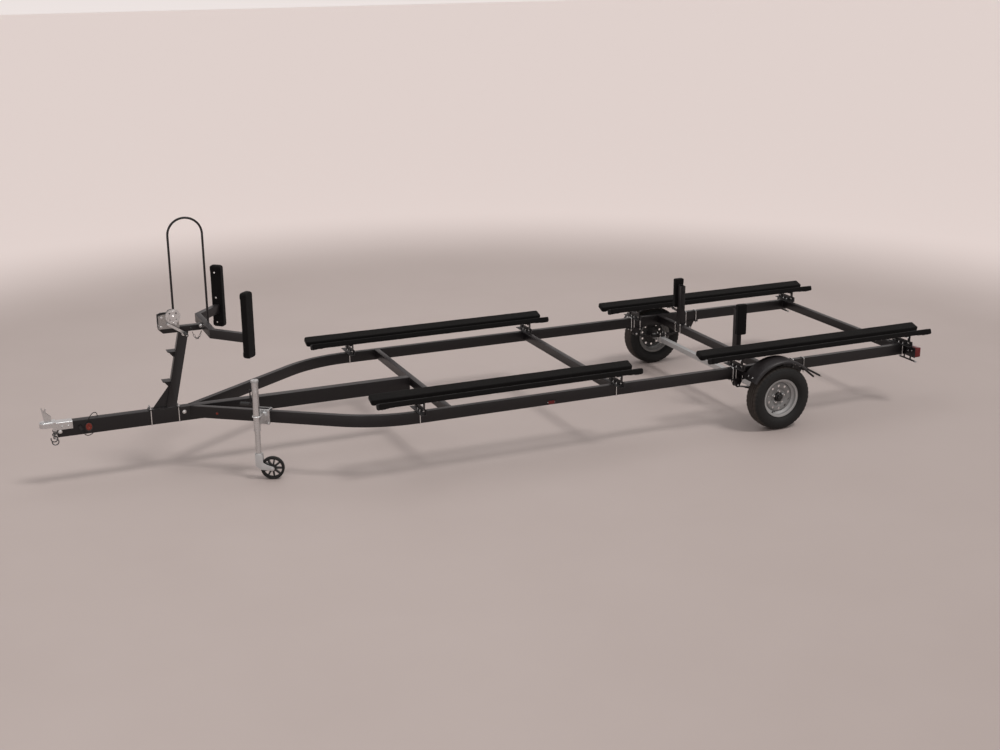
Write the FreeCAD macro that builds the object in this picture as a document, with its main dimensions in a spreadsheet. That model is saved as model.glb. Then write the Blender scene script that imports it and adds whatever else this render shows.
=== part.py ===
import FreeCAD, Part
import math
import os

from FreeCAD import Placement, Rotation, Vector

# Single-axle bunk trailer for a pontoon boat, parked on its tongue jack.
# Millimetres. X forward to the coupler, Y to the left, Z up, floor at Z = 0.
# Stations along X are measured from the axle; station() shifts them once, by AXLE_X.

doc = FreeCAD.newDocument("BoatTrailer")
sheet = doc.addObject("Spreadsheet::Sheet", "Sizes")

SIZES = [
    # main frame
    ("rail_across", 50.8, "side rail, tube width"),
    ("rail_tall", 101.6, "side rail, tube height"),
    ("rail_wall", 3.2, "side rail, wall"),
    ("rail_under", 479.0, "underside of the side rails above the floor"),
    ("rail_outer", 1024.0, "outer face of a side rail from the centre plane"),
    ("rail_rear", -1590.0, "rear end of the rails"),
    ("bend_start", 3516.0, "where the rails start to bend inward"),
    ("bend_radius", 1100.0, "outer radius of that bend"),
    ("bend_angle", 35.5, "turn of the rails to the tongue, degrees"),
    ("tongue_across", 76.2, "tongue tube width"),
    ("tongue_tall", 127.0, "tongue tube height"),
    ("tongue_wall", 4.8, "tongue tube wall"),
    ("tongue_front", 6360.0, "front end of the tongue"),
    ("cross_along", 50.8, "crossmember tube, along the trailer"),
    ("cross_tall", 76.2, "crossmember tube, height"),
    ("cross_wall", 3.2, "crossmember tube, wall"),
    ("cross_one", 3233.0, "front face of the front crossmember"),
    ("cross_two", 1643.0, "front face of the second crossmember"),
    ("cross_three", 67.0, "front face of the crossmember by the axle"),
    ("cross_four", -1512.0, "front face of the rear crossmember"),
    ("seat_gap", 0.3, "gap between parts that are bolted or clamped together"),
    # coupler
    ("coupler_wall", 5.0, "coupler channel plate"),
    ("coupler_drop", 66.0, "how far the channel reaches down the tongue"),
    ("coupler_long", 128.0, "coupler channel over the tongue"),
    ("coupler_round", 9.0, "rounding of the channel and the nose"),
    ("collar_along", 26.0, "collar behind the nose, along the trailer"),
    ("collar_out", 5.0, "how far the collar stands out of the channel"),
    ("ball_ahead", 96.0, "centre of the coupler ball ahead of the tongue tube"),
    ("ball_dia", 50.8, "tow ball, two inch"),
    ("ball_play", 0.4, "play round the ball, each side"),
    ("nose_out", 42.0, "outer radius of the coupler nose"),
    ("nose_rise", 8.0, "top of the nose above the channel"),
    ("nose_tall", 50.0, "height of the nose"),
    ("crown_wall", 8.0, "metal over the ball"),
    ("latch_tall", 118.0, "latch lever above the nose"),
    ("latch_long", 56.0, "foot of the latch lever, back from the ball"),
    ("latch_lean", 17.0, "how far the lever's tip leans ahead of the ball"),
    ("latch_tip", 8.0, "width of each of the lever's two tips"),
    ("latch_notch", 34.0, "depth of the notch between the tips"),
    ("latch_back", 38.0, "height of the lever's straight back"),
    ("latch_across", 26.0, "latch lever, width"),
    ("latch_sheet", 3.0, "latch lever, sheet"),
    # safety chains
    ("ear_back", 22.0, "bolt of the chain ears behind the tongue's end"),
    ("ear_height", 504.0, "height of that bolt"),
    ("ear_long", 46.0, "from the bolt to the eye of an ear"),
    ("ear_round", 12.0, "end radius of an ear"),
    ("ear_plate", 5.0, "ear plate"),
    ("eye_dia", 15.0, "eye of an ear"),
    ("chain_wire", 7.0, "chain link wire"),
    ("chain_bend", 8.0, "bend radius of a link, to the middle of the wire"),
    ("chain_run", 12.0, "straight stretch of a link"),
    ("hook_wire", 9.0, "hook wire"),
    ("hook_small", 11.0, "upper bow of a hook, to the middle of the wire"),
    ("hook_large", 27.0, "lower bow of a hook, to the middle of the wire"),
    ("wire_flats", 8, "flats round a link or a hook"),
    # light lead
    ("lead_dia", 7.0, "light lead"),
    ("lead_rise", 28.0, "lead straight up from its boss"),
    ("lead_boss", 6.0, "boss that the lead comes out of, radius"),
    ("plug_long", 40.0, "flat plug of the lead"),
    ("plug_wide", 24.0, "width of the plug"),
    ("plug_thick", 13.0, "thickness of the plug"),
    ("pin_dia", 4.0, "pins of the plug"),
    ("pin_pitch", 5.5, "distance of the pins"),
    # wheels
    ("tyre_dia", 610.0, "tyre outer diameter"),
    ("tyre_wide", 185.0, "tyre section width"),
    ("tyre_belly", 62.0, "widest place of the tyre above the bead seat"),
    ("tread_drop", 46.0, "edge of the shoulder below the tread"),
    ("tread_inset", 24.0, "edge of the tread in from the widest place"),
    ("shoulder_in", 8.0, "edge of the shoulder in from the widest place"),
    ("track_half", 1208.0, "wheel centre plane from the centre plane"),
    ("rim_dia", 330.2, "rim bead seat diameter, 13 inch"),
    ("rim_wide", 117.0, "rim width over the flanges"),
    ("rim_lip", 18.0, "flange height above the bead seat"),
    ("rim_well", 20.0, "depth of the drop centre"),
    ("rim_sheet", 4.0, "rim and disc thickness"),
    ("bead_flat", 22.0, "bead seat, width behind the drop centre"),
    ("well_slope", 14.0, "slope from a bead seat to the drop centre, width"),
    ("disc_seat", 8.0, "outer face of the disc's middle from the wheel centre plane"),
    ("disc_crown", 20.0, "outer face of the disc at its holes from the centre plane"),
    ("vent_count", 10, "round holes in the wheel disc"),
    ("vent_first", 15.0, "first hole above level, degrees"),
    ("vent_dia", 19.0, "diameter of those holes"),
    ("vent_ring", 111.0, "radius of the ring of holes"),
    ("hub_dia", 138.0, "hub flange diameter"),
    ("hub_plate", 10.0, "hub flange thickness"),
    ("hub_nose", 62.0, "hub barrel diameter"),
    ("hub_behind", 42.0, "hub barrel behind the flange"),
    ("hub_ahead", 46.0, "hub barrel and dust cap ahead of the flange"),
    ("cap_long", 18.0, "dust cap, length"),
    ("cap_round", 15.0, "dust cap's end is smaller than the barrel by this radius"),
    ("cap_end", 14.0, "closed end of the dust cap"),
    ("bead_lap", 2.0, "tyre bead in from the rim's flange"),
    ("pilot_fit", 0.3, "play of the disc on the hub barrel"),
    ("bearing_fit", 0.05, "running play of the hub on its spindle, radial"),
    ("spindle_dia", 34.0, "spindle diameter"),
    ("spindle_short", 2.0, "spindle short of the dust cap"),
    ("hub_gap", 6.0, "gap between the hub and the axle tube"),
    # axle and springs
    ("axle_tube", 50.8, "square axle tube"),
    ("seat_plate", 5.0, "spring seat on the axle"),
    ("seat_long", 70.0, "length of a spring seat"),
    ("spring_across", 44.5, "leaf width"),
    ("leaf_thick", 7.0, "one leaf"),
    ("leaf_count", 3, "leaves"),
    ("leaf_step", 0.3, "each leaf is shorter than the one above by this share"),
    ("spring_half", 325.0, "half of the eye-to-eye length"),
    ("spring_rise", 74.0, "eye centre above the seat on the axle"),
    ("eye_out", 20.0, "spring eye, outer radius"),
    ("cheek_out", 4.0, "hanger cheek beyond the spring eye"),
    ("cheek_drop", 8.0, "straight edge of a hanger cheek below the slider"),
    ("pin_proud", 6.0, "shackle pins beyond the cheeks"),
    ("shackle_pin", 16.0, "pin through a spring eye"),
    ("hanger_wall", 6.0, "hanger and slider plate"),
    ("hanger_half", 52.0, "half length of a hanger at the rail"),
    ("slider_front", 430.0, "front end of the axle slider"),
    ("slider_rear", -430.0, "rear end of the axle slider"),
    # fenders
    ("fender_crown", 368.0, "radius of the fender over the wheel"),
    ("fender_edge", 344.0, "radius of the outer lower edge"),
    ("fender_sheet", 3.0, "fender sheet"),
    ("fender_in", 1092.0, "inner edge from the centre plane"),
    ("fender_wide", 208.0, "width of a fender"),
    ("fender_low", 31.0, "front end of the arc above level, degrees"),
    ("fender_arc", 104.0, "length of the arc, degrees"),
    ("arm_bar", 6.0, "fender arm bar, thickness"),
    ("arm_wide", 38.0, "fender arm bar, width"),
    ("arm_inset", 6.0, "fender arms in from the ends of the arc, degrees"),
    ("arm_short", 34.0, "fender arms short of the outer edge"),
    ("brace_station", -452.0, "rear end of the fender's rear brace"),
    ("brace_height", 452.0, "height of that end"),
    # bunks
    ("board_wide", 108.0, "bunk board width with its carpet"),
    ("board_thick", 48.0, "bunk board thickness with its carpet"),
    ("board_long", 2490.0, "bunk board length"),
    ("board_round", 9.0, "rounding of a carpeted board"),
    ("board_tilt", 18.0, "slope of a board toward its mate, degrees"),
    ("board_top", 745.0, "height of the outer top edges"),
    ("board_spread", 147.0, "outer top edge from the middle of a pair"),
    ("bunk_front_rear", 1402.0, "rear end of the front bunks"),
    ("bunk_rear_rear", -1802.0, "rear end of the rear bunks"),
    ("bracket_one", 3470.0, "rear face of the front bracket"),
    ("bracket_two", 1590.0, "rear face of the second bracket"),
    ("bracket_three", 330.0, "rear face of the third bracket"),
    ("bracket_four", -1582.0, "rear face of the last bracket"),
    ("bracket_angle", 50.0, "leg of the bracket angle"),
    ("bracket_wall", 6.0, "bracket plate"),
    ("bracket_long", 300.0, "bracket length across the rail"),
    ("bracket_upright", 38.0, "upright width"),
    ("bracket_inset", 48.0, "upright centre from the bracket end"),
    # guide boards
    ("guide_wide", 101.0, "guide board width along the trailer"),
    ("guide_thick", 50.0, "guide board thickness"),
    ("guide_side", 600.0, "guide board middle from the centre plane"),
    ("guide_foot", 760.0, "guide board lower end"),
    ("guide_top", 1060.0, "guide board upper end"),
    ("guide_along", 50.8, "post of a guide board, along the trailer"),
    ("guide_across", 76.2, "post of a guide board, across"),
    ("guide_wall", 3.2, "wall of that post"),
    ("guide_below", 62.0, "top of the post below the top of the board"),
    # winch stand
    ("stand_toe", 5600.0, "front end of the stand's foot plate"),
    ("stand_heel", 5330.0, "rear end of the foot plate"),
    ("foot_thick", 6.0, "foot plate"),
    ("post_along", 86.0, "stand post, along the trailer"),
    ("post_across", 50.8, "stand post, across"),
    ("post_low", 5402.0, "middle of the post at the foot plate"),
    ("post_high", 5252.0, "middle of the post under the arm"),
    ("gusset_plate", 8.0, "gusset ahead of the post"),
    ("gusset_tall", 200.0, "height of the gusset"),
    ("gusset_inset", 40.0, "toe of the gusset behind the foot plate's front end"),
    ("weld_in", 2.0, "how far welded plates run into the post"),
    ("arm_under", 1243.0, "underside of the stand's arm"),
    ("arm_tube", 52.0, "stand arm, square tube"),
    ("arm_round", 6.0, "corner radius of the arm's tube"),
    ("arm_nose", 38.0, "height of the slanted front of the arm"),
    ("arm_front", 5460.0, "front end of the stand arm"),
    ("step_plate", 5.0, "step plate"),
    ("step_low", 825.0, "height of the lower step"),
    ("step_high", 1084.0, "height of the upper step"),
    ("step_across", 96.0, "step width"),
    ("step_deep", 72.0, "step depth ahead of the post"),
    ("step_rib", 84.0, "height of the rib under a step"),
    ("rib_short", 6.0, "rib short of the step's front edge"),
    # bow stops
    ("bow_tube", 50.8, "bow arm tube, width"),
    ("bow_tall", 76.2, "bow arm tube, height"),
    ("bow_wall", 3.2, "bow arm tube, wall"),
    ("bow_front", 5085.0, "front face of the cross tube"),
    ("bow_corner", 300.0, "corner of the arms from the centre plane"),
    ("bow_angle", 42.0, "arms back from the cross line, degrees"),
    ("bow_reach", 345.0, "length of an arm"),
    ("bow_under", 1234.0, "underside of the bow arms"),
    ("pad_wide", 110.0, "bow board width"),
    ("pad_thick", 58.0, "bow board thickness"),
    ("pad_round", 24.0, "rounding of a bow board's ends"),
    ("pad_foot", 1102.0, "bow board lower end"),
    ("pad_top", 1666.0, "bow board upper end"),
    # grab hoop
    ("hoop_rod", 19.0, "grab hoop rod"),
    ("hoop_half", 145.0, "half distance of the hoop's legs"),
    ("hoop_top", 2218.0, "top of the hoop"),
    ("hoop_foot", 16.0, "feet of the hoop above the underside of the bow arms"),
    # winch
    ("winch_plate", 4.0, "winch side plate"),
    ("winch_far", -18.0, "outer face of the far side plate"),
    ("winch_near", 70.0, "outer face of the near side plate"),
    ("winch_behind", 49.0, "winch base behind the drum shaft"),
    ("winch_ahead", 77.0, "winch base ahead of the crank shaft"),
    ("winch_over", 22.0, "side plates above the drum shaft"),
    ("cheek_corner", 12.0, "front upper corner of the side plates, cut down by"),
    ("cheek_slope", 34.0, "and cut back by"),
    ("cheek_rear", 16.0, "rear corner of the side plates below the drum shaft"),
    ("drum_play", 1.5, "drum clear of each side plate"),
    ("gear_play", 2.0, "gears clear of the near side plate"),
    ("gear_hole", 14.0, "holes in the drum gear"),
    ("gear_ring", 0.6, "ring of these holes, as a share of the pitch radius"),
    ("gear_station", 5339.0, "drum shaft along the trailer"),
    ("gear_height", 1398.0, "drum shaft height"),
    ("gear_slope", 53.0, "crank shaft below the drum shaft, degrees from level"),
    ("gear_teeth", 60, "teeth of the drum gear"),
    ("pinion_teeth", 12, "teeth of the crank's pinion"),
    ("gear_module", 2.12, "tooth module"),
    ("tooth_play", 0.4, "play between the flanks"),
    ("gear_thick", 5.0, "drum gear plate"),
    ("drum_dia", 68.0, "roll of strap on the drum"),
    ("crank_long", 160.0, "crank length"),
    ("crank_down", 34.0, "crank slope, degrees"),
    ("crank_bar", 6.0, "crank bar, thickness"),
    ("crank_eye", 3.0, "ends of the crank bar beyond the shaft, radius"),
    ("crank_pin", 12.0, "rod of the grip, diameter"),
    ("crank_clear", 12.0, "crank bar clear of the gears"),
    ("shaft_proud", 4.0, "winch shafts beyond what they carry"),
    ("grip_long", 80.0, "crank grip"),
    ("grip_dia", 26.0, "crank grip diameter"),
    ("shaft_dia", 16.0, "winch shafts"),
    ("shaft_fit", 0.08, "running play of the winch shafts, radial"),
    # jack
    ("jack_station", 4780.0, "jack tube along the trailer"),
    ("jack_side", 520.0, "jack tube from the centre plane"),
    ("jack_out", 57.0, "jack outer tube diameter"),
    ("jack_in", 48.0, "jack leg diameter"),
    ("jack_fit", 0.08, "running play of the leg, radial"),
    ("jack_top", 880.0, "top of the jack tube"),
    ("jack_cap", 20.0, "closed top of the jack tube"),
    ("cap_out", 4.0, "this top beyond the tube"),
    ("jack_end", 440.0, "lower end of the outer tube"),
    ("leg_end", 238.0, "lower end of the leg"),
    ("leg_up", 442.0, "length of the leg"),
    ("pivot_up", 530.0, "height of the jack's swivel"),
    ("pivot_disc", 104.0, "swivel discs"),
    ("disc_thick", 16.0, "swivel disc on the mount"),
    ("mount_long", 150.0, "jack mount plates along the rail"),
    ("mount_thick", 14.0, "front mount plate with its stiffening"),
    ("mount_back", 8.0, "plate behind the rail"),
    ("mount_over", 14.0, "mount plates above and below the rail"),
    ("mount_bolt", 10.0, "mount bolts"),
    ("bolt_proud", 8.0, "mount bolts beyond the plates"),
    ("bolt_inset", 15.0, "mount bolts in from the plates' ends"),
    ("swivel_play", 0.5, "gap between the swivel discs"),
    ("swivel_plate", 8.0, "swivel disc on the tube"),
    ("saddle_long", 44.0, "saddle between the disc and the tube, along the rail"),
    ("saddle_tall", 84.0, "height of the saddle"),
    ("saddle_in", 6.0, "saddle into the tube"),
    ("pivot_pin", 40.0, "swivel pin diameter"),
    ("handle_up", 676.0, "height of the jack's crank grip"),
    ("handle_rise", 120.0, "crank shaft above the grip"),
    ("handle_shaft", 18.0, "crank shaft diameter"),
    ("handle_off", 18.0, "crank arm off the tube"),
    ("handle_arm", 12.0, "crank arm diameter"),
    ("handle_grip", 28.0, "grip diameter"),
    ("handle_long", 100.0, "grip length"),
    ("handle_past", 2.0, "crank shaft and grip past the arm"),
    ("caster_wheel", 203.0, "jack wheel diameter"),
    ("caster_wide", 48.0, "jack wheel width"),
    ("caster_trail", 112.0, "wheel axle behind the leg"),
    ("caster_turn", 20.0, "caster turned outward from straight back, degrees"),
    ("caster_stud", 20.0, "stud that the fork turns on, diameter"),
    ("caster_axle", 16.0, "axle of the jack wheel"),
    ("fork_plate", 5.0, "fork cheek"),
    ("fork_play", 6.0, "fork cheeks clear of the wheel"),
    ("fork_crown", 8.0, "fork crown plate"),
    ("fork_ahead", 34.0, "fork crown ahead of the stud"),
    ("fork_behind", 52.0, "fork crown behind the stud"),
    ("fork_foot", 20.0, "round foot of a fork cheek, radius"),
    ("stud_long", 34.0, "length of the stud"),
    ("caster_hub", 24.0, "wheel hub, radius"),
    ("caster_web", 18.0, "wheel web"),
    ("caster_tread", 24.0, "depth of the wheel's tread ring"),
    ("caster_edge", 6.0, "rounding of the tread ring, radius"),
    # lights
    ("lamp_deep", 60.0, "tail light, along the trailer"),
    ("lamp_wide", 150.0, "tail light, across"),
    ("lamp_tall", 96.0, "tail light, height"),
    ("lamp_top", 576.0, "top of a tail light"),
    ("lamp_side", 1030.0, "inner end of a tail light from the centre plane"),
    ("lamp_plate", 5.0, "tail light bracket plate"),
    ("lamp_bar", 16.0, "bar along the lower edge of that plate"),
    ("lamp_foot", 444.0, "height of the bar"),
    ("lamp_round", 8.0, "rounding of the box"),
    ("lamp_inset", 12.0, "plate reaches in past the rail by"),
    ("lamp_beyond", 8.0, "plate reaches out past the box by"),
    ("lamp_under", 2.0, "top of the plate below the top of the rail"),
    ("marker_back", 257.0, "marker on the tongue, behind the tongue's end"),
    ("marker_height", 514.0, "height of its middle"),
    ("marker_half", 31.0, "half length of a marker"),
    ("marker_tall", 38.0, "half height of the tongue marker"),
    ("marker_thick", 14.0, "thickness of a marker"),
    ("side_marker_at", 2258.0, "side marker on the rails"),
    ("side_marker_up", 503.0, "height of its middle"),
    ("side_marker_tall", 16.0, "half height of a side marker"),
]

for row, (alias, value, note) in enumerate(SIZES, start=1):
    sheet.set("A%d" % row, note)
    sheet.set("B%d" % row, str(value))
    sheet.setAlias("B%d" % row, alias)
doc.recompute()


def size(alias):
    """Value of one named cell."""
    return float(sheet.get(alias))


def bound(obj, prop, formula):
    """Bind a property to the sheet: names in the formula are its aliases."""
    names = {alias for alias, _, _ in SIZES}
    out = ""
    word = ""
    for char in formula + " ":
        if char.isalnum() or char == "_":
            word += char
            continue
        out += ("Sizes." + word if word in names else word) + char
        word = ""
    obj.setExpression(prop, out.strip())


# %% Places that several pieces share

GAP = size("seat_gap")
RAIL_TOP = size("rail_under") + size("rail_tall")
RAIL_MID = size("rail_outer") - size("rail_across") / 2
RAIL_IN = size("rail_outer") - size("rail_across")
TONGUE_HALF = size("tongue_across") / 2
TONGUE_LOW = RAIL_TOP - size("tongue_tall")
WHEEL_UP = size("tyre_dia") / 2
TRACK = size("track_half")
BEAD = size("rim_dia") / 2
BALL = size("tongue_front") + size("ball_ahead")
NOSE_TIP = BALL + size("nose_out")
AXLE_X = -(NOSE_TIP + size("bunk_rear_rear")) / 2
TURN = math.radians(size("bend_angle"))
AHEAD = Vector(1, 0, 0)
LEFT = Vector(0, 1, 0)
UP = Vector(0, 0, 1)


def station(x):
    """Distance from the axle to the part's own X."""
    return AXLE_X + x


def at(x, y, z):
    return Vector(station(x), y, z)


# %% Small kit for bodies and sketches

def new_body(label):
    body = doc.addObject("PartDesign::Body", label)
    body.Label = label
    return body


def plane_of(body, role):
    for feature in body.Origin.OriginFeatures:
        if feature.Role == role:
            return feature


def draw(sketch, outline):
    """Closed outline of points; a point given as (p, mid) is reached by an arc."""
    points = [item[0] if isinstance(item, tuple) else item for item in outline]
    for index, item in enumerate(outline):
        start = points[index - 1]
        if isinstance(item, tuple):
            sketch.addGeometry(Part.Arc(start, item[1], item[0]), False)
        else:
            sketch.addGeometry(Part.LineSegment(start, item), False)


def new_sketch(body, name, role, outlines=(), offset=None):
    sketch = body.newObject("Sketcher::SketchObject", name)
    sketch.AttachmentSupport = [(plane_of(body, role), "")]
    sketch.MapMode = "FlatFace"
    if offset is not None:
        sketch.AttachmentOffset = Placement(offset, Rotation())
    for outline in outlines:
        draw(sketch, outline)
    return sketch


def add_circle(sketch, x, y, radius):
    sketch.addGeometry(Part.Circle(Vector(x, y, 0), UP, radius), False)


def box_outline(x1, y1, x2, y2):
    return [Vector(x1, y1, 0), Vector(x2, y1, 0), Vector(x2, y2, 0), Vector(x1, y2, 0)]


def strip(points, thick):
    """Closed outline of bent sheet: a path and its parallel on the right, mitred."""
    ways = [(points[i + 1] - points[i]).normalize() for i in range(len(points) - 1)]
    other = []
    for index, point in enumerate(points):
        before = ways[max(index - 1, 0)]
        after = ways[min(index, len(ways) - 1)]
        normals = Vector(before.y, -before.x, 0), Vector(after.y, -after.x, 0)
        other.append(point + (normals[0] + normals[1]) * (thick / (1 + normals[0].dot(normals[1]))))
    return points + other[::-1]


def pad(body, sketch, formula, name="Pad", midplane=False, reverse=False):
    feature = body.newObject("PartDesign::Pad", name)
    feature.Profile = sketch
    feature.Midplane = midplane
    feature.Reversed = reverse
    bound(feature, "Length", formula)
    return feature


def checked_cut(body, feature, before):
    """A cut that misses the solid shows no error, so the volume is compared."""
    doc.recompute()
    if not body.Shape.Volume < before - 1:
        raise ValueError("%s cuts nothing in %s" % (feature.Name, body.Label))
    return feature


def pocket(body, sketch, formula, name="Pocket", midplane=False, reverse=False):
    doc.recompute()
    before = body.Shape.Volume
    feature = body.newObject("PartDesign::Pocket", name)
    feature.Profile = sketch
    feature.Midplane = midplane
    feature.Reversed = reverse
    bound(feature, "Length", formula)
    return checked_cut(body, feature, before)


def turned(body, sketch, name="Turned", cut=False):
    """Turn a profile about its sketch's level axis, as material or as a cut."""
    doc.recompute()
    before = body.Shape.Volume if cut else 0
    feature = body.newObject("PartDesign::Groove" if cut else "PartDesign::Revolution", name)
    feature.Profile = sketch
    feature.ReferenceAxis = (sketch, ["H_Axis"])
    feature.Angle = 360
    return checked_cut(body, feature, before) if cut else feature


def ring_of(body, feature, sketch, count, name="Ring"):
    """Repeat a feature round the normal of its sketch."""
    pattern = body.newObject("PartDesign::PolarPattern", name)
    pattern.Originals = [feature]
    pattern.Axis = (sketch, ["N_Axis"])
    pattern.Angle = 360
    pattern.Occurrences = int(count)
    body.Tip = pattern
    return pattern


def rounded(body, radius_formula, wanted, name="Rounded"):
    """Fillet the edges of a body that a test picks."""
    doc.recompute()
    base = body.Tip
    picked = ["Edge%d" % (i + 1) for i, edge in enumerate(base.Shape.Edges) if wanted(edge)]
    feature = body.newObject("PartDesign::Fillet", name)
    feature.Base = (base, picked)
    bound(feature, "Radius", radius_formula)
    return feature


# %% Small kit for solids that need their own construction

def solid(label, shape):
    feature = doc.addObject("Part::Feature", label)
    feature.Label = label
    feature.Shape = shape
    return feature


def mirrored(source, label):
    """The same piece on the other side of the centre plane."""
    feature = doc.addObject("Part::Mirroring", label)
    feature.Label = label
    feature.Source = source
    feature.Normal = LEFT
    return feature


def cuboid(x1, y1, z1, x2, y2, z2):
    box = Part.makeBox(abs(x2 - x1), abs(y2 - y1), abs(z2 - z1))
    box.translate(Vector(min(x1, x2), min(y1, y2), min(z1, z2)))
    return box


def rod(start, end, radius):
    return Part.makeCylinder(radius, (end - start).Length, start, end - start)


def prism(points, vector):
    """Flat outline pushed along a vector."""
    return Part.Face(Part.makePolygon(points + [points[0]])).extrude(vector)


def slot_plate(start, end, radius, thickness):
    """Plate with two round ends, thickness along Y from the two end centres."""
    way = (end - start).normalize()
    side = way.cross(LEFT) * radius
    edges = [Part.LineSegment(start + side, end + side).toShape(),
             Part.Arc(end + side, end + way * radius, end - side).toShape(),
             Part.LineSegment(end - side, start - side).toShape(),
             Part.Arc(start - side, start - way * radius, start + side).toShape()]
    return Part.Face(Part.Wire(edges)).extrude(LEFT * thickness)


def bar_section(radius, spot, way, axis, flats):
    """Face across a bar: round, or with flats, one of them square to the bend's axis."""
    if not flats:
        return Part.Face(Part.Wire(Part.makeCircle(radius, spot, way)))
    half = math.pi / flats
    aside = way.cross(axis)
    turns = [half * (2 * index + 1) for index in range(flats)]
    points = [spot + (axis * math.cos(turn) + aside * math.sin(turn)) * (radius / math.cos(half))
              for turn in turns]
    return Part.Face(Part.makePolygon(points + [points[0]]))


def bent_rod(radius, start, heading, steps, flats=0, axis=UP):
    """Bar: each step is a run (length,) or a bend (radius, degrees, axis)."""
    spot = Vector(start)
    way = Vector(heading).normalize()
    pieces = []
    for step in steps:
        if len(step) == 1:
            pieces.append(bar_section(radius, spot, way, axis, flats).extrude(way * step[0]))
            spot = spot + way * step[0]
            continue
        bend, degrees, axis = step
        centre = spot + axis.cross(way).normalize() * bend
        pieces.append(bar_section(radius, spot, way, axis, flats).revolve(centre, axis, degrees))
        turn = Rotation(axis, degrees)
        spot = centre + turn.multVec(spot - centre)
        way = turn.multVec(way)
    return pieces[0].fuse(pieces[1:]).removeSplitter()


def route_steps(points):
    """Runs and the largest arcs that a cord's route has room for, and the arcs' radii."""
    share = 0.45
    steps = []
    radii = []
    used = 0
    for before, corner, after in zip(points, points[1:], points[2:]):
        first = corner - before
        second = after - corner
        turn = first.getAngle(second)
        setback = share * min(first.Length, second.Length)
        radii.append(setback / math.tan(turn / 2))
        steps.append((first.Length - used - setback,))
        steps.append((radii[-1], math.degrees(turn), first.cross(second).normalize()))
        used = setback
    steps.append(((points[-1] - points[-2]).Length - used,))
    return steps, radii


# %% Side rails: straight, then a long bend in to the tongue

def rail_outline(inset):
    """Plan of a left rail; inset moves both long sides inward."""
    radius = size("bend_radius")
    outer = size("rail_outer") - inset
    inner = RAIL_IN + inset
    start = station(size("bend_start"))
    centre = Vector(start, size("rail_outer") - radius, 0)

    def on_arc(distance, angle):
        return centre + Vector(distance * math.sin(angle), distance * math.cos(angle), 0)

    def at_tongue(distance):
        """Where a long side, at this distance from the bend centre, meets the tongue."""
        leave = on_arc(distance, TURN)
        run = (leave.y - TONGUE_HALF) / math.tan(TURN)
        return Vector(leave.x + run, TONGUE_HALF, 0)

    far = radius - inset
    near = radius - size("rail_across") + inset
    rear = station(size("rail_rear"))
    return [
        Vector(rear, inner, 0), Vector(rear, outer, 0), Vector(start, outer, 0),
        (on_arc(far, TURN), on_arc(far, TURN / 2)),
        at_tongue(far), at_tongue(near), on_arc(near, TURN),
        (Vector(start, inner, 0), on_arc(near, TURN / 2)),
    ]


rail = new_body("side_rail_left")
rail_plan = new_sketch(rail, "rail_plan", "XY_Plane", [rail_outline(0)], UP * size("rail_under"))
pad(rail, rail_plan, "rail_tall")
rail_hollow = new_sketch(rail, "rail_hollow", "XY_Plane", [rail_outline(size("rail_wall"))],
                         UP * (size("rail_under") + size("rail_wall")))
pocket(rail, rail_hollow, "rail_tall - 2 * rail_wall", reverse=True)
mirrored(rail, "side_rail_right")

# %% Tongue and crossmembers: straight rectangular tubes, all level on top

tongue = new_body("tongue_tube")
tongue_wall = size("tongue_wall")
tongue_section = new_sketch(
    tongue, "tongue_section", "YZ_Plane",
    [box_outline(-TONGUE_HALF, TONGUE_LOW, TONGUE_HALF, RAIL_TOP),
     box_outline(-TONGUE_HALF + tongue_wall, TONGUE_LOW + tongue_wall,
                 TONGUE_HALF - tongue_wall, RAIL_TOP - tongue_wall)],
    UP * station(size("cross_one")))
pad(tongue, tongue_section, "tongue_front - cross_one")

cross_wall = size("cross_wall")
cross_low = RAIL_TOP - size("cross_tall")
for label, alias in (("crossmember_front", "cross_one"), ("crossmember_mid", "cross_two"),
                     ("crossmember_axle", "cross_three"), ("crossmember_rear", "cross_four")):
    member = new_body(label)
    member_front = station(size(alias))
    member_rear = member_front - size("cross_along")
    section = new_sketch(member, label + "_section", "XZ_Plane",
                         [box_outline(member_rear, cross_low, member_front, RAIL_TOP),
                          box_outline(member_rear + cross_wall, cross_low + cross_wall,
                                      member_front - cross_wall, RAIL_TOP - cross_wall)])
    pad(member, section, "2 * (rail_outer - rail_across)", midplane=True)

# %% Coupler: channel over the tongue, collar, and a round nose with the ball socket

CHANNEL_IN = TONGUE_HALF + GAP
CHANNEL_OUT = CHANNEL_IN + size("coupler_wall")
CHANNEL_TOP = RAIL_TOP + GAP + size("coupler_wall")
CHANNEL_LOW = CHANNEL_TOP - size("coupler_drop")
NOSE_TOP = CHANNEL_TOP + size("nose_rise")
NOSE_LOW = NOSE_TOP - size("nose_tall")
CHANNEL_REAR = size("tongue_front") - size("coupler_long")
COLLAR_REAR = size("tongue_front") + size("coupler_wall")
COLLAR_FRONT = COLLAR_REAR + size("collar_along")
SOCKET = size("ball_dia") / 2 + size("ball_play")
BALL_UP = NOSE_TOP - size("crown_wall") - SOCKET

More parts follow.
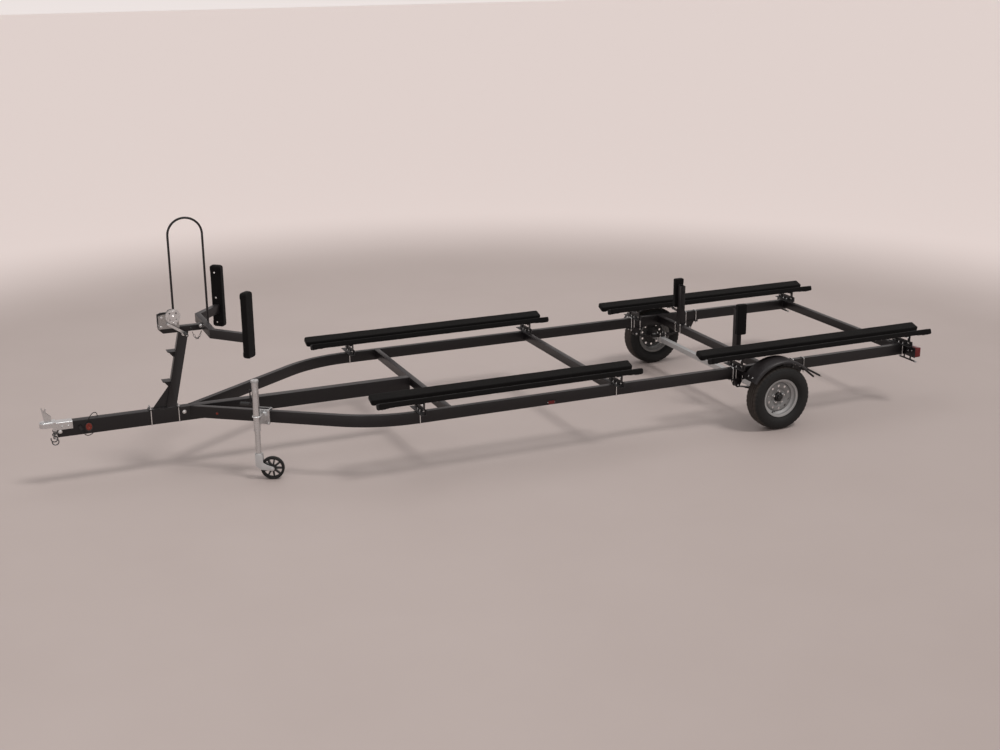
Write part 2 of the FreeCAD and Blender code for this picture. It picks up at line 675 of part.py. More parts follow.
coupler = new_body("coupler")
ball_x = station(BALL)
nose_r = size("nose_out")
nose_plan = new_sketch(
    coupler, "nose_plan", "XY_Plane",
    [[Vector(station(COLLAR_REAR), -nose_r, 0), Vector(ball_x, -nose_r, 0),
      (Vector(ball_x, nose_r, 0), Vector(ball_x + nose_r, 0, 0)),
      Vector(station(COLLAR_REAR), nose_r, 0)]],
    UP * NOSE_LOW)
pad(coupler, nose_plan, "nose_tall", name="Nose")
rounded(coupler, "1.5 * coupler_round",
        lambda edge: edge.BoundBox.ZMin > NOSE_TOP - 1 and edge.BoundBox.XMax > station(COLLAR_REAR) + 1,
        name="Nose_edges")
collar_half = CHANNEL_OUT + size("collar_out")
collar_low = CHANNEL_LOW - size("collar_out")
collar_plan = new_sketch(
    coupler, "collar_plan", "XY_Plane",
    [box_outline(station(COLLAR_REAR), -collar_half, station(COLLAR_FRONT), collar_half)],
    UP * collar_low)
pad(coupler, collar_plan, "coupler_drop + 2 * collar_out", name="Collar")
channel_plan = new_sketch(
    coupler, "channel_plan", "XY_Plane",
    [box_outline(station(CHANNEL_REAR), -CHANNEL_OUT, station(COLLAR_REAR), CHANNEL_OUT)],
    UP * CHANNEL_LOW)
pad(coupler, channel_plan, "coupler_drop", name="Channel")
rounded(coupler, "coupler_round",
        lambda edge: CHANNEL_TOP + 1 > edge.BoundBox.ZMin > CHANNEL_TOP - 1
        and edge.BoundBox.XMax < station(COLLAR_REAR) + 1 and edge.BoundBox.XLength > size("coupler_drop"),
        name="Channel_edges")
inside = new_sketch(
    coupler, "channel_inside", "YZ_Plane",
    [box_outline(-CHANNEL_IN, CHANNEL_LOW - 1, CHANNEL_IN, RAIL_TOP + GAP)],
    UP * station(CHANNEL_REAR))
pocket(coupler, inside, "coupler_long + seat_gap", name="Inside", reverse=True)
mouth = new_sketch(coupler, "ball_mouth", "XY_Plane", offset=UP * NOSE_LOW)
add_circle(mouth, ball_x, 0, SOCKET)
pocket(coupler, mouth, "nose_tall - crown_wall - ball_dia / 2 - ball_play", name="Mouth", reverse=True)
cup = new_sketch(
    coupler, "ball_cup", "XZ_Plane",
    [[Vector(SOCKET, 0, 0), (Vector(-SOCKET, 0, 0), Vector(0, SOCKET, 0))]],
    Vector(ball_x, BALL_UP, 0))
turned(coupler, cup, name="Cup", cut=True)

# %% Latch: bent sheet lever that stands on the nose

latch_low = NOSE_TOP + GAP
latch_high = NOSE_TOP + size("latch_tall")
latch_rear = BALL - size("latch_long")
latch_front = BALL
tip_front = latch_front + size("latch_lean")
tip = size("latch_tip")
notch = size("latch_notch")
sheet_in = size("latch_sheet")
half_latch = size("latch_across") / 2
LATCH_SIDE = [(latch_rear, latch_low), (latch_front, latch_low), (tip_front, latch_high),
              (tip_front - tip, latch_high), (latch_front - tip / 2, latch_high - notch),
              (latch_front - 2 * tip, latch_high - tip), (latch_front - 3 * tip, latch_high - tip),
              (latch_front - 2.5 * tip, latch_high - notch - tip),
              (latch_rear - tip / 2, latch_low + size("latch_back"))]
slot_rear = latch_rear - 3 * tip
slot_low = latch_low + 2 * sheet_in
LATCH_SLOT = [(slot_rear, slot_low), (latch_front - sheet_in, slot_low),
              (tip_front - sheet_in, latch_high + 1), (slot_rear, latch_high + 1)]
lever = prism([at(x, -half_latch, z) for x, z in LATCH_SIDE], LEFT * size("latch_across"))
between_sides = prism([at(x, -half_latch + sheet_in, z) for x, z in LATCH_SLOT],
                      LEFT * (size("latch_across") - 2 * sheet_in))
solid("coupler_latch", lever.cut(between_sides))

# %% Safety chains: an ear on each side of the tongue, a link and an open hook

def chain_side(sign):
    """Ear, link and hook on one side, as pieces that hang in each other."""
    thick = size("ear_plate")
    face = sign * TONGUE_HALF
    bolt = at(size("tongue_front") - size("ear_back"), 0, size("ear_height"))
    eye = bolt + AHEAD * size("ear_long") - UP * size("ear_round")
    inner = face if sign > 0 else face - thick
    ear = slot_plate(bolt + LEFT * inner, eye + LEFT * inner, size("ear_round"), thick)
    hole = rod(eye + LEFT * (inner - 1), eye + LEFT * (inner + thick + 1), size("eye_dia") / 2)
    middle = face + sign * thick / 2
    wire = size("chain_wire") / 2
    bend = size("chain_bend")
    run = size("chain_run")
    top = eye.z - size("eye_dia") / 2 + wire + GAP
    link_start = Vector(eye.x, middle - bend, top - bend)
    flats = int(size("wire_flats"))
    link = bent_rod(wire, link_start, UP, [(bend, 180, -AHEAD), (run,), (bend, 180, -AHEAD), (run,)],
                    flats, -AHEAD)
    low = top - 2 * bend - run
    hook_r = size("hook_wire") / 2
    small = size("hook_small")
    large = size("hook_large")
    crown = low + wire + hook_r + GAP
    centre = Vector(eye.x, middle, crown - small)
    hook = bent_rod(hook_r, centre - AHEAD * small, UP, [(small, 270, LEFT), (large, 290, -LEFT)], flats)
    return [ear.cut(hole), link, hook]


chains = chain_side(1) + chain_side(-1)
solid("safety_chains", Part.makeCompound(chains))

# %% Markers: an oval one on the tongue and one on each rail

marker_edge = Part.Ellipse(Vector(0, 0, 0), size("marker_tall"), size("marker_half")).toShape()
marker = Part.Face(Part.Wire(marker_edge))
marker.rotate(Vector(0, 0, 0), AHEAD, 90)
marker.rotate(Vector(0, 0, 0), LEFT, 90)
marker = marker.extrude(LEFT * size("marker_thick"))
MARKER_AT = size("tongue_front") - size("marker_back")
marker.translate(at(MARKER_AT, TONGUE_HALF, size("marker_height")))
boss_foot = at(MARKER_AT, TONGUE_HALF + size("marker_thick") / 2,
               size("marker_height") + size("marker_tall") - size("lead_boss"))
boss_top = boss_foot + UP * (2 * size("lead_boss"))
solid("tongue_marker", marker.fuse(rod(boss_foot, boss_top, size("lead_boss"))).removeSplitter())

side_marker = new_body("side_marker_left")
marker_x = station(size("side_marker_at"))
marker_face = new_sketch(
    side_marker, "marker_face", "XZ_Plane",
    [box_outline(marker_x - size("marker_half"), size("side_marker_up") - size("side_marker_tall"),
                 marker_x + size("marker_half"), size("side_marker_up") + size("side_marker_tall"))],
    -UP * size("rail_outer"))
pad(side_marker, marker_face, "marker_thick", reverse=True)
rounded(side_marker, "marker_thick / 2", lambda edge: edge.BoundBox.YMin > size("rail_outer") + 1)
mirrored(side_marker, "side_marker_right")

# %% Light lead: out of the tongue marker, once round the tongue, to a flat plug

LEAD_ROUTE = [
    boss_top,
    boss_top + UP * size("lead_rise"),
    at(6084, 36, 610),
    at(6054, 4, 622),
    at(6030, -28, 612),
    at(6018, -52, 588),
    at(6014, -62, 552),
    at(6018, -60, 514),
    at(6028, -60, 478),
    at(6044, -50, 446),
    at(6070, -22, 432),
    at(6098, 10, 428),
    at(6126, 38, 438),
    at(6148, 54, 462),
    at(6162, 50, 494),
]
lead_steps, lead_radii = route_steps(LEAD_ROUTE)
lead = bent_rod(size("lead_dia") / 2, LEAD_ROUTE[0], LEAD_ROUTE[1] - LEAD_ROUTE[0], lead_steps)
solid("light_lead", lead)
lead_length = lead.Volume / (math.pi * size("lead_dia") ** 2 / 4)
print("light lead: length %.0f, radii %s" % (lead_length, " ".join("%.0f" % r for r in lead_radii)))

plug_way = (LEAD_ROUTE[-1] - LEAD_ROUTE[-2]).normalize()
plug_across = plug_way.cross(LEFT).normalize()
plug_out = plug_across.cross(plug_way).normalize()
plug_side = plug_across * (size("plug_wide") / 2)
plug_half = plug_out * (size("plug_thick") / 2)
plug_base = [LEAD_ROUTE[-1] - plug_side - plug_half, LEAD_ROUTE[-1] + plug_side - plug_half,
             LEAD_ROUTE[-1] + plug_side + plug_half, LEAD_ROUTE[-1] - plug_side + plug_half]
plug = prism(plug_base, plug_way * size("plug_long"))
for place in (-1.5, -0.5, 0.5, 1.5):
    pin_foot = LEAD_ROUTE[-1] + plug_way * size("plug_long") + plug_across * (place * size("pin_pitch"))
    pin_end = pin_foot + plug_way * (2 * size("pin_dia"))
    plug = plug.fuse(rod(pin_foot - plug_way, pin_end, size("pin_dia") / 2))
solid("lead_plug", plug.removeSplitter())

# %% Wheels: profiles drawn as (distance outward, radius) and turned about the axle line

WHEEL_CENTRE = Vector(TRACK, WHEEL_UP, station(0))


def wheel_outline(points):
    return [Vector(out, radius, 0) for out, radius in points]


tyre = new_body("tyre_left")
bead_in = size("rim_wide") / 2 - size("rim_sheet") - size("bead_lap")
tyre_half = size("tyre_wide") / 2
shoulder = WHEEL_UP - size("tread_drop")
shoulder_half = tyre_half - size("shoulder_in")
tread_half = tyre_half - size("tread_inset")
belly = BEAD + size("tyre_belly")
bead_out = BEAD + size("rim_lip") + GAP
TYRE_PROFILE = wheel_outline([
    (-bead_in, BEAD + GAP), (-bead_in, bead_out), (-tyre_half, belly), (-shoulder_half, shoulder),
    (-tread_half, WHEEL_UP), (tread_half, WHEEL_UP), (shoulder_half, shoulder), (tyre_half, belly),
    (bead_in, bead_out), (bead_in, BEAD + GAP)])
turned(tyre, new_sketch(tyre, "tyre_profile", "YZ_Plane", [TYRE_PROFILE], WHEEL_CENTRE))
mirrored(tyre, "tyre_right")

wheel = new_body("wheel_left")
rim_half = size("rim_wide") / 2
seat_end = size("bead_flat") - rim_half
skin = size("rim_sheet")
lip = BEAD + size("rim_lip")
well = BEAD - size("rim_well")
disc_seat = size("disc_seat")
RIM_PATH = wheel_outline([
    (-rim_half, lip), (-rim_half + skin, BEAD), (seat_end, BEAD), (seat_end + size("well_slope"), well),
    (disc_seat + skin, well), (disc_seat + skin + size("well_slope"), BEAD),
    (rim_half - skin, BEAD), (rim_half, lip)])
rim_profile = new_sketch(wheel, "rim_profile", "YZ_Plane", [strip(RIM_PATH, skin)], WHEEL_CENTRE)
turned(wheel, rim_profile, name="Rim")
disc_crown = size("disc_crown")
pilot = size("hub_nose") / 2 + size("pilot_fit")
vent_ring = size("vent_ring")
vent_half = size("vent_dia") / 2
DISC_PATH = wheel_outline([
    (disc_seat, pilot), (disc_seat, size("hub_dia") / 2 + skin / 2),
    (disc_crown, vent_ring - vent_half - skin),
    (disc_crown, vent_ring + vent_half + skin), (disc_seat, well - skin / 2)])
disc_profile = new_sketch(wheel, "disc_profile", "YZ_Plane", [strip(DISC_PATH, -skin)], WHEEL_CENTRE)
turned(wheel, disc_profile, name="Disc")
vent = new_sketch(wheel, "vent_hole", "XZ_Plane", offset=Vector(station(0), WHEEL_UP, -TRACK - disc_crown))
vent_angle = math.radians(size("vent_first"))
add_circle(vent, vent_ring * math.cos(vent_angle), vent_ring * math.sin(vent_angle), vent_half)
vent_cut = pocket(wheel, vent, "3 * rim_sheet", name="Vent", midplane=True)
ring_of(wheel, vent_cut, vent, size("vent_count"), name="Vents")
mirrored(wheel, "wheel_right")

hub = new_body("hub_left")
flange = disc_seat - skin
behind = flange - size("hub_plate") - size("hub_behind")
ahead = flange + size("hub_ahead")
spindle_hole = size("spindle_dia") / 2 + size("bearing_fit")
barrel = size("hub_nose") / 2
flange_r = size("hub_dia") / 2
cap_foot = ahead - size("cap_long")
cap_in = size("cap_round")
cap_inside = ahead - size("cap_end")
HUB_PROFILE = wheel_outline([
    (behind, spindle_hole), (behind, barrel), (flange - size("hub_plate"), barrel),
    (flange - size("hub_plate"), flange_r), (flange, flange_r), (flange, barrel),
    (cap_foot, barrel), (cap_foot, barrel - cap_in / 3), (ahead - cap_in / 2, barrel - cap_in / 2),
    (ahead, barrel - cap_in), (ahead, 0), (cap_inside, 0), (cap_inside, spindle_hole)])
turned(hub, new_sketch(hub, "hub_profile", "YZ_Plane", [HUB_PROFILE], WHEEL_CENTRE))
mirrored(hub, "hub_right")

# %% Axle: square tube between the hubs, a spindle at each end, a seat for each spring

AXLE_HALF = TRACK + behind - size("hub_gap")
AXLE_TOP = WHEEL_UP + size("axle_tube") / 2
SEAT = AXLE_TOP + size("seat_plate")
SPINDLE_END = TRACK + cap_inside - size("spindle_short")
tube_half = size("axle_tube") / 2
axle = cuboid(station(0) - tube_half, -AXLE_HALF, WHEEL_UP - tube_half,
              station(0) + tube_half, AXLE_HALF, WHEEL_UP + tube_half)
seat_half = size("seat_long") / 2
for sign in (1, -1):
    axle = axle.fuse([
        rod(Vector(station(0), sign * (AXLE_HALF - tube_half), WHEEL_UP),
            Vector(station(0), sign * SPINDLE_END, WHEEL_UP), size("spindle_dia") / 2),
        cuboid(station(-seat_half), sign * RAIL_MID - size("spring_across") / 2, AXLE_TOP,
               station(seat_half), sign * RAIL_MID + size("spring_across") / 2, SEAT)])
solid("axle_tube", axle.removeSplitter())

# %% Leaf springs: leaves on one centre, stepped in length, eyes rolled on the top leaf

EYE_UP = SEAT + size("spring_rise")
LEAF = size("leaf_thick")
UNDER_MAIN = SEAT + (int(size("leaf_count")) - 1) * LEAF
spring_s = size("spring_half")
eye_rise = EYE_UP - size("eye_out") - UNDER_MAIN
EYE_RADIUS = (spring_s ** 2 + eye_rise ** 2) / (2 * eye_rise)
MAIN_RADIUS = EYE_RADIUS + size("eye_out")
CURVE_UP = UNDER_MAIN + MAIN_RADIUS


def leaf_shape(index):
    """One leaf: the top one is 0, and each below it is shorter and on a larger radius."""
    outer = MAIN_RADIUS + index * LEAF
    reach = math.asin(spring_s / EYE_RADIUS) * (1 - size("leaf_step") * index)

    def spot(radius, angle):
        return Vector(station(0) + radius * math.sin(angle), RAIL_MID - size("spring_across") / 2,
                      CURVE_UP - radius * math.cos(angle))

    low = Part.Arc(spot(outer, -reach), spot(outer, 0), spot(outer, reach)).toShape()
    high = Part.Arc(spot(outer - LEAF, reach), spot(outer - LEAF, 0), spot(outer - LEAF, -reach)).toShape()
    ends = [Part.LineSegment(spot(outer, reach), spot(outer - LEAF, reach)).toShape(),
            Part.LineSegment(spot(outer - LEAF, -reach), spot(outer, -reach)).toShape()]
    return Part.Face(Part.Wire([low, ends[0], high, ends[1]])).extrude(LEFT * size("spring_across"))


spring = leaf_shape(0).fuse([leaf_shape(index) for index in range(1, int(size("leaf_count")))])
spring_in = RAIL_MID - size("spring_across") / 2
spring_out = RAIL_MID + size("spring_across") / 2
pin_r = size("shackle_pin") / 2
for x in (-spring_s, spring_s):
    spring = spring.fuse(rod(at(x, spring_in, EYE_UP), at(x, spring_out, EYE_UP), size("eye_out")))
    spring = spring.cut(rod(at(x, spring_in - 1, EYE_UP), at(x, spring_out + 1, EYE_UP), pin_r + GAP))
mirrored(solid("leaf_spring_left", spring.removeSplitter()), "leaf_spring_right")

# %% Sliders: plate under each rail with a hanger for each spring eye

SLIDER_HALF = size("rail_across") / 2 + size("hanger_wall")
slider_top = size("rail_under") - GAP
slider_low = slider_top - size("hanger_wall")
slider = cuboid(station(size("slider_rear")), RAIL_MID - SLIDER_HALF, slider_low,
                station(size("slider_front")), RAIL_MID + SLIDER_HALF, slider_top)
hanger_r = size("eye_out") + size("cheek_out")
cheek_low = slider_low - size("cheek_drop")
spread = size("hanger_half")
pin_reach = SLIDER_HALF + size("pin_proud")
for x in (-spring_s, spring_s):
    for inner in (RAIL_MID - SLIDER_HALF, RAIL_MID + SLIDER_HALF - size("hanger_wall")):
        eye = at(x, inner, EYE_UP)
        cheek = prism([at(x - spread, inner, slider_top), at(x + spread, inner, slider_top),
                       at(x + spread, inner, cheek_low), eye + AHEAD * hanger_r, eye - AHEAD * hanger_r,
                       at(x - spread, inner, cheek_low)], LEFT * size("hanger_wall"))
        slider = slider.fuse([cheek, rod(eye, eye + LEFT * size("hanger_wall"), hanger_r)])
    slider = slider.fuse(rod(at(x, RAIL_MID - pin_reach, EYE_UP), at(x, RAIL_MID + pin_reach, EYE_UP), pin_r))
mirrored(solid("axle_slider_left", slider.removeSplitter()), "axle_slider_right")

# %% Fenders: rolled sheet with a round outer shoulder, two arms and a rear brace

FENDER_CENTRE = Vector(station(0), 0, WHEEL_UP)
FENDER_ENDS = size("fender_low"), size("fender_low") + size("fender_arc")
FENDER_OUT = size("fender_in") + size("fender_wide")


def round_the_wheel(shape, degrees):
    """Turn from level ahead of the axle up and back over the wheel."""
    shape.rotate(FENDER_CENTRE, LEFT, -degrees)
    return shape


def fender_section():
    """Sheet section ahead of the axle: flat crown and a quarter-round shoulder."""
    crown = size("fender_crown")
    sheet_t = size("fender_sheet")
    low = size("fender_in")
    out = FENDER_OUT
    roll = crown - size("fender_edge")

    def spot(radius, y):
        return Vector(station(0) + radius, y, WHEEL_UP)

    def on_roll(radius):
        middle = out - roll
        return spot(crown - roll + radius * math.sin(math.pi / 4), middle + radius * math.cos(math.pi / 4))

    top_end = spot(crown, out - roll)
    edge_out = spot(crown - roll, out)
    edge_in = spot(crown - roll, out - sheet_t)
    under_end = spot(crown - sheet_t, out - roll)
    edges = [
        Part.LineSegment(spot(crown - sheet_t, low), spot(crown, low)),
        Part.LineSegment(spot(crown, low), top_end),
        Part.Arc(top_end, on_roll(roll), edge_out),
        Part.LineSegment(edge_out, edge_in),
        Part.Arc(edge_in, on_roll(roll - sheet_t), under_end),
        Part.LineSegment(under_end, spot(crown - sheet_t, low))]
    return Part.Face(Part.Wire([edge.toShape() for edge in edges]))


fender = round_the_wheel(fender_section(), FENDER_ENDS[0]).revolve(FENDER_CENTRE, LEFT, -size("fender_arc"))
arm_out = FENDER_OUT - size("arm_short")
skin_in = size("fender_crown") - size("fender_sheet")
arm_in = size("rail_outer") + GAP
arm_half = size("arm_wide") / 2
for degrees in (FENDER_ENDS[0] + size("arm_inset"), FENDER_ENDS[1] - size("arm_inset")):
    bar = cuboid(station(skin_in - size("arm_bar")), arm_in, WHEEL_UP - arm_half,
                 station(skin_in + 1), arm_out, WHEEL_UP + arm_half)
    fender = fender.fuse(round_the_wheel(bar, degrees))
brace_angle = math.radians(FENDER_ENDS[1] - 2)
brace_top = at(skin_in * math.cos(brace_angle), 0, WHEEL_UP + skin_in * math.sin(brace_angle))
brace_tip = at(size("brace_station"), 0, size("brace_height"))
brace_way = (brace_tip - brace_top).normalize()
brace_side = LEFT.cross(brace_way) * size("arm_bar")
for y in (arm_out - size("arm_wide"), arm_out - 3 * size("arm_wide")):
    near_line = [brace_top - brace_way * size("arm_bar") + LEFT * y, brace_tip + LEFT * y]
    far_line = [spot + LEFT * arm_half for spot in reversed(near_line)]
    fender = fender.fuse(prism(near_line + far_line, brace_side))
mirrored(solid("fender_left", fender.removeSplitter()), "fender_right")

# %% Bunks: two carpeted boards form a trough over each rail

TILT = math.radians(size("board_tilt"))


def board_shape(x_rear, lean):
    """One board of the left pair: lean +1 is the outer one."""
    top_out = Vector(station(x_rear), RAIL_MID + lean * size("board_spread"), size("board_top"))
    inward = Vector(0, -lean * math.cos(TILT), -math.sin(TILT)) * size("board_wide")
    down = Vector(0, lean * math.sin(TILT), -math.cos(TILT)) * size("board_thick")
    block = prism([top_out, top_out + inward, top_out + inward + down, top_out + down],
                  AHEAD * size("board_long"))
    long_edges = [edge for edge in block.Edges if edge.Length > size("board_long") - 1]
    return block.makeFillet(size("board_round"), long_edges)


def board_bottom(offset):
    """Height of the underside of a board at this distance from the middle of its pair."""
    out_low = size("board_top") - size("board_thick") * math.cos(TILT)
    edge = size("board_spread") + size("board_thick") * math.sin(TILT)
    return out_low - (edge - abs(offset)) * math.tan(TILT)


for place, alias in (("front", "bunk_front_rear"), ("rear", "bunk_rear_rear")):
    for edge_name, lean in (("outer", 1), ("inner", -1)):
        board = solid("bunk_%s_left_%s" % (place, edge_name), board_shape(size(alias), lean))
        mirrored(board, "bunk_%s_right_%s" % (place, edge_name))

# %% Bunk brackets: an angle across the rail and an upright under each board


def bracket_shape(x_rear):
    """Bracket over the left rail: its angle's upright leg faces back."""
    half_long = size("bracket_long") / 2
    leg = size("bracket_angle")
    wall_t = size("bracket_wall")
    low = RAIL_TOP + GAP
    section = strip([Vector(leg, 0, 0), Vector(0, 0, 0), Vector(0, leg, 0)], wall_t)
    corner_at = at(x_rear, RAIL_MID - half_long, low)
    frame = prism([corner_at + Vector(p.x, 0, p.y) for p in section], LEFT * (2 * half_long))
    for middle in (size("bracket_inset") - half_long, half_long - size("bracket_inset")):
        ends = middle - size("bracket_upright") / 2, middle + size("bracket_upright") / 2
        feet = [at(x_rear + wall_t, RAIL_MID + y, low + wall_t) for y in ends]
        tops = [at(x_rear + wall_t, RAIL_MID + y, board_bottom(y) - GAP) for y in ends]
        upright = prism([feet[0], feet[1], tops[1], tops[0]], AHEAD * wall_t)
        flange_plate = prism([tops[0], tops[1], tops[1] - UP * wall_t, tops[0] - UP * wall_t],
                             AHEAD * (leg - wall_t))
        frame = frame.fuse([upright, flange_plate])
    return frame.removeSplitter()


BRACKETS = [size("bracket_" + number) for number in ("one", "two", "three", "four")]
brackets = solid("bunk_brackets_left", Part.makeCompound([bracket_shape(x) for x in BRACKETS]))
mirrored(brackets, "bunk_brackets_right")

# %% Guide boards: upright, on the outer side of a post on the crossmember

guide_x = size("cross_three") - size("cross_along") / 2
guide_in = size("guide_side") - size("guide_thick") / 2
guide = new_body("guide_board_left")
guide_plan = new_sketch(
    guide, "guide_plan", "XY_Plane",
    [box_outline(station(guide_x - size("guide_wide") / 2), guide_in,
                 station(guide_x + size("guide_wide") / 2), guide_in + size("guide_thick"))],
    UP * size("guide_foot"))
pad(guide, guide_plan, "guide_top - guide_foot")
rounded(guide, "board_round", lambda edge: edge.BoundBox.ZLength > size("guide_thick"))
mirrored(guide, "guide_board_right")

post = new_body("guide_post_left")
post_out = guide_in - GAP
post_in = post_out - size("guide_across")
post_rear = station(guide_x - size("guide_along") / 2)
post_ahead = station(guide_x + size("guide_along") / 2)
guide_wall = size("guide_wall")
hollow = [post_rear + guide_wall, post_in + guide_wall, post_ahead - guide_wall, post_out - guide_wall]
post_section = new_sketch(
    post, "post_section", "XY_Plane",
    [box_outline(post_rear, post_in, post_ahead, post_out), box_outline(*hollow)], UP * RAIL_TOP)
pad(post, post_section, "guide_top - guide_below - rail_under - rail_tall")
mirrored(post, "guide_post_right")

# %% Winch stand: foot plate, gusset, leaning post with two steps

STAND_LOW = RAIL_TOP + GAP
FOOT_TOP = STAND_LOW + size("foot_thick")
POST_DEEP = size("post_along") / 2


def post_front(z):
    """Front face of the leaning post at a height."""
    share = (z - FOOT_TOP) / (size("arm_under") - FOOT_TOP)
    return size("post_low") + POST_DEEP + share * (size("post_high") - size("post_low"))


stand = new_body("stand_post")
foot_plan = new_sketch(
    stand, "foot_plan", "XY_Plane",
    [box_outline(station(size("stand_heel")), -TONGUE_HALF, station(size("stand_toe")), TONGUE_HALF)],
    UP * STAND_LOW)
pad(stand, foot_plan, "foot_thick", name="Foot")
post_top = size("arm_under")
weld = size("weld_in")


def on_post(z, ahead_by=0):
    """Point on the post's front face, or ahead of it, in the plane of the stand's side."""
    return Vector(station(post_front(z) + ahead_by), z, 0)


post_side = new_sketch(
    stand, "post_side", "XZ_Plane",
    [[on_post(FOOT_TOP, -size("post_along")), on_post(FOOT_TOP), on_post(post_top),
      on_post(post_top, -size("post_along"))]])
pad(stand, post_side, "post_across", name="Post", midplane=True)
gusset_top = FOOT_TOP + size("gusset_tall")
gusset_toe = Vector(station(size("stand_toe") - size("gusset_inset")), FOOT_TOP, 0)
gusset_side = new_sketch(
    stand, "gusset_side", "XZ_Plane",
    [[on_post(FOOT_TOP, -weld), gusset_toe, on_post(gusset_top), on_post(gusset_top, -weld)]])
pad(stand, gusset_side, "gusset_plate", name="Gusset", midplane=True)
for label, height in (("low", size("step_low")), ("high", size("step_high"))):
    face = post_front(height) - weld
    step_front = face + size("step_deep")
    tread = new_sketch(
        stand, "step_%s" % label, "XY_Plane",
        [box_outline(station(face), -size("step_across") / 2, station(step_front), size("step_across") / 2)],
        UP * (height - size("step_plate")))
    pad(stand, tread, "step_plate", name="Step_" + label)
    rib = new_sketch(
        stand, "rib_%s" % label, "XZ_Plane",
        [[Vector(station(face), height - size("step_plate"), 0),
          Vector(station(face), height - size("step_rib"), 0),
          Vector(station(step_front - size("rib_short")), height - size("step_plate"), 0)]])
    pad(stand, rib, "step_plate", name="Rib_" + label, midplane=True)

arm = new_body("stand_arm")
ARM_LOW = size("arm_under") + GAP
ARM_TOP = ARM_LOW + size("arm_tube")
arm_rear = station(size("bow_front") + GAP)
arm_front = station(size("arm_front"))
arm_side = new_sketch(
    arm, "arm_side", "XZ_Plane",
    [[Vector(arm_rear, ARM_LOW, 0), Vector(arm_front - size("arm_nose"), ARM_LOW, 0),
      Vector(arm_front, ARM_LOW + size("arm_nose"), 0), Vector(arm_front, ARM_TOP, 0),
      Vector(arm_rear, ARM_TOP, 0)]])
pad(arm, arm_side, "arm_tube", midplane=True)
rounded(arm, "arm_round", lambda edge: edge.BoundBox.XLength > size("arm_tube") * 2)

# %% Bow stops: cross tube with two arms back, and a carpeted board on each

BOW_TURN = math.radians(size("bow_angle"))
ARM_BACK = Vector(-math.sin(BOW_TURN), math.cos(BOW_TURN), 0)
ARM_INWARD = Vector(-math.cos(BOW_TURN), -math.sin(BOW_TURN), 0)


def bow_outline(inset):
    """Plan of the bent tube as one outline; inset moves its walls inward."""
    front_x = station(size("bow_front"))
    tube_w = size("bow_tube")
    corner_out = Vector(front_x, size("bow_corner"), 0)
    lean = math.tan(BOW_TURN / 2)
    end = corner_out + ARM_BACK * size("bow_reach")

    def corner_at(depth):
        return Vector(front_x - depth, size("bow_corner") - depth * lean, 0)

    left_side = [corner_at(inset), end + ARM_INWARD * inset, end + ARM_INWARD * (tube_w - inset),
                 corner_at(tube_w - inset)]
    return left_side + [Vector(p.x, -p.y, 0) for p in reversed(left_side)]


bow = new_body("bow_arms")
bow_plan = new_sketch(bow, "bow_plan", "XY_Plane", [bow_outline(0)], UP * size("bow_under"))
pad(bow, bow_plan, "bow_tall")
bow_inside = new_sketch(bow, "bow_inside", "XY_Plane", [bow_outline(size("bow_wall"))],
                        UP * (size("bow_under") + size("bow_wall")))
pocket(bow, bow_inside, "bow_tall - 2 * bow_wall", reverse=True)

pad_end = bow_outline(0)[1] + ARM_INWARD * (size("bow_tube") / 2) + ARM_BACK * GAP
bow_board = new_body("bow_board_left")
half_wide = size("pad_wide") / 2
pad_corners = [pad_end - ARM_INWARD * half_wide, pad_end + ARM_INWARD * half_wide]
pad_corners += [corner + ARM_BACK * size("pad_thick") for corner in reversed(pad_corners)]
board_plan = new_sketch(bow_board, "board_plan", "XY_Plane", [pad_corners], UP * size("pad_foot"))
pad(bow_board, board_plan, "pad_top - pad_foot")
rounded(bow_board, "pad_round", lambda edge: edge.BoundBox.ZLength < 1
        and abs(edge.Length - size("pad_thick")) < 1)
mirrored(bow_board, "bow_board_right")

# %% Grab hoop beside the arm

hoop_r = size("hoop_rod") / 2
hoop_y = -size("arm_tube") / 2 - hoop_r - GAP
rear_leg = size("bow_front") - size("bow_tube") - hoop_r - GAP
front_leg = rear_leg + 2 * size("hoop_half")
hoop_low = size("bow_under") + size("hoop_foot")
hoop_run = size("hoop_top") - hoop_r - size("hoop_half") - hoop_low
solid("grab_hoop", bent_rod(hoop_r, at(front_leg, hoop_y, hoop_low), UP,
                            [(hoop_run,), (size("hoop_half"), 180, -LEFT), (hoop_run,)]))

# %% Winch: bent frame, drum with its gear, crank with its pinion

WINCH_LOW = ARM_TOP + GAP
PLATE = size("winch_plate")
SHAFT = size("shaft_dia") / 2
MODULE = size("gear_module")
TEETH = int(size("gear_teeth")), int(size("pinion_teeth"))
CENTRES = MODULE * (TEETH[0] + TEETH[1]) / 2
slope = math.radians(size("gear_slope"))
DRUM_AT = at(size("gear_station"), 0, size("gear_height"))
CRANK_AT = DRUM_AT + Vector(math.cos(slope), 0, -math.sin(slope)) * CENTRES
PRESSURE = math.radians(25)
TOOTH_UP = 0.8 * MODULE
TOOTH_DOWN = 1.05 * MODULE
GEAR_Y = size("winch_near") + size("gear_play")

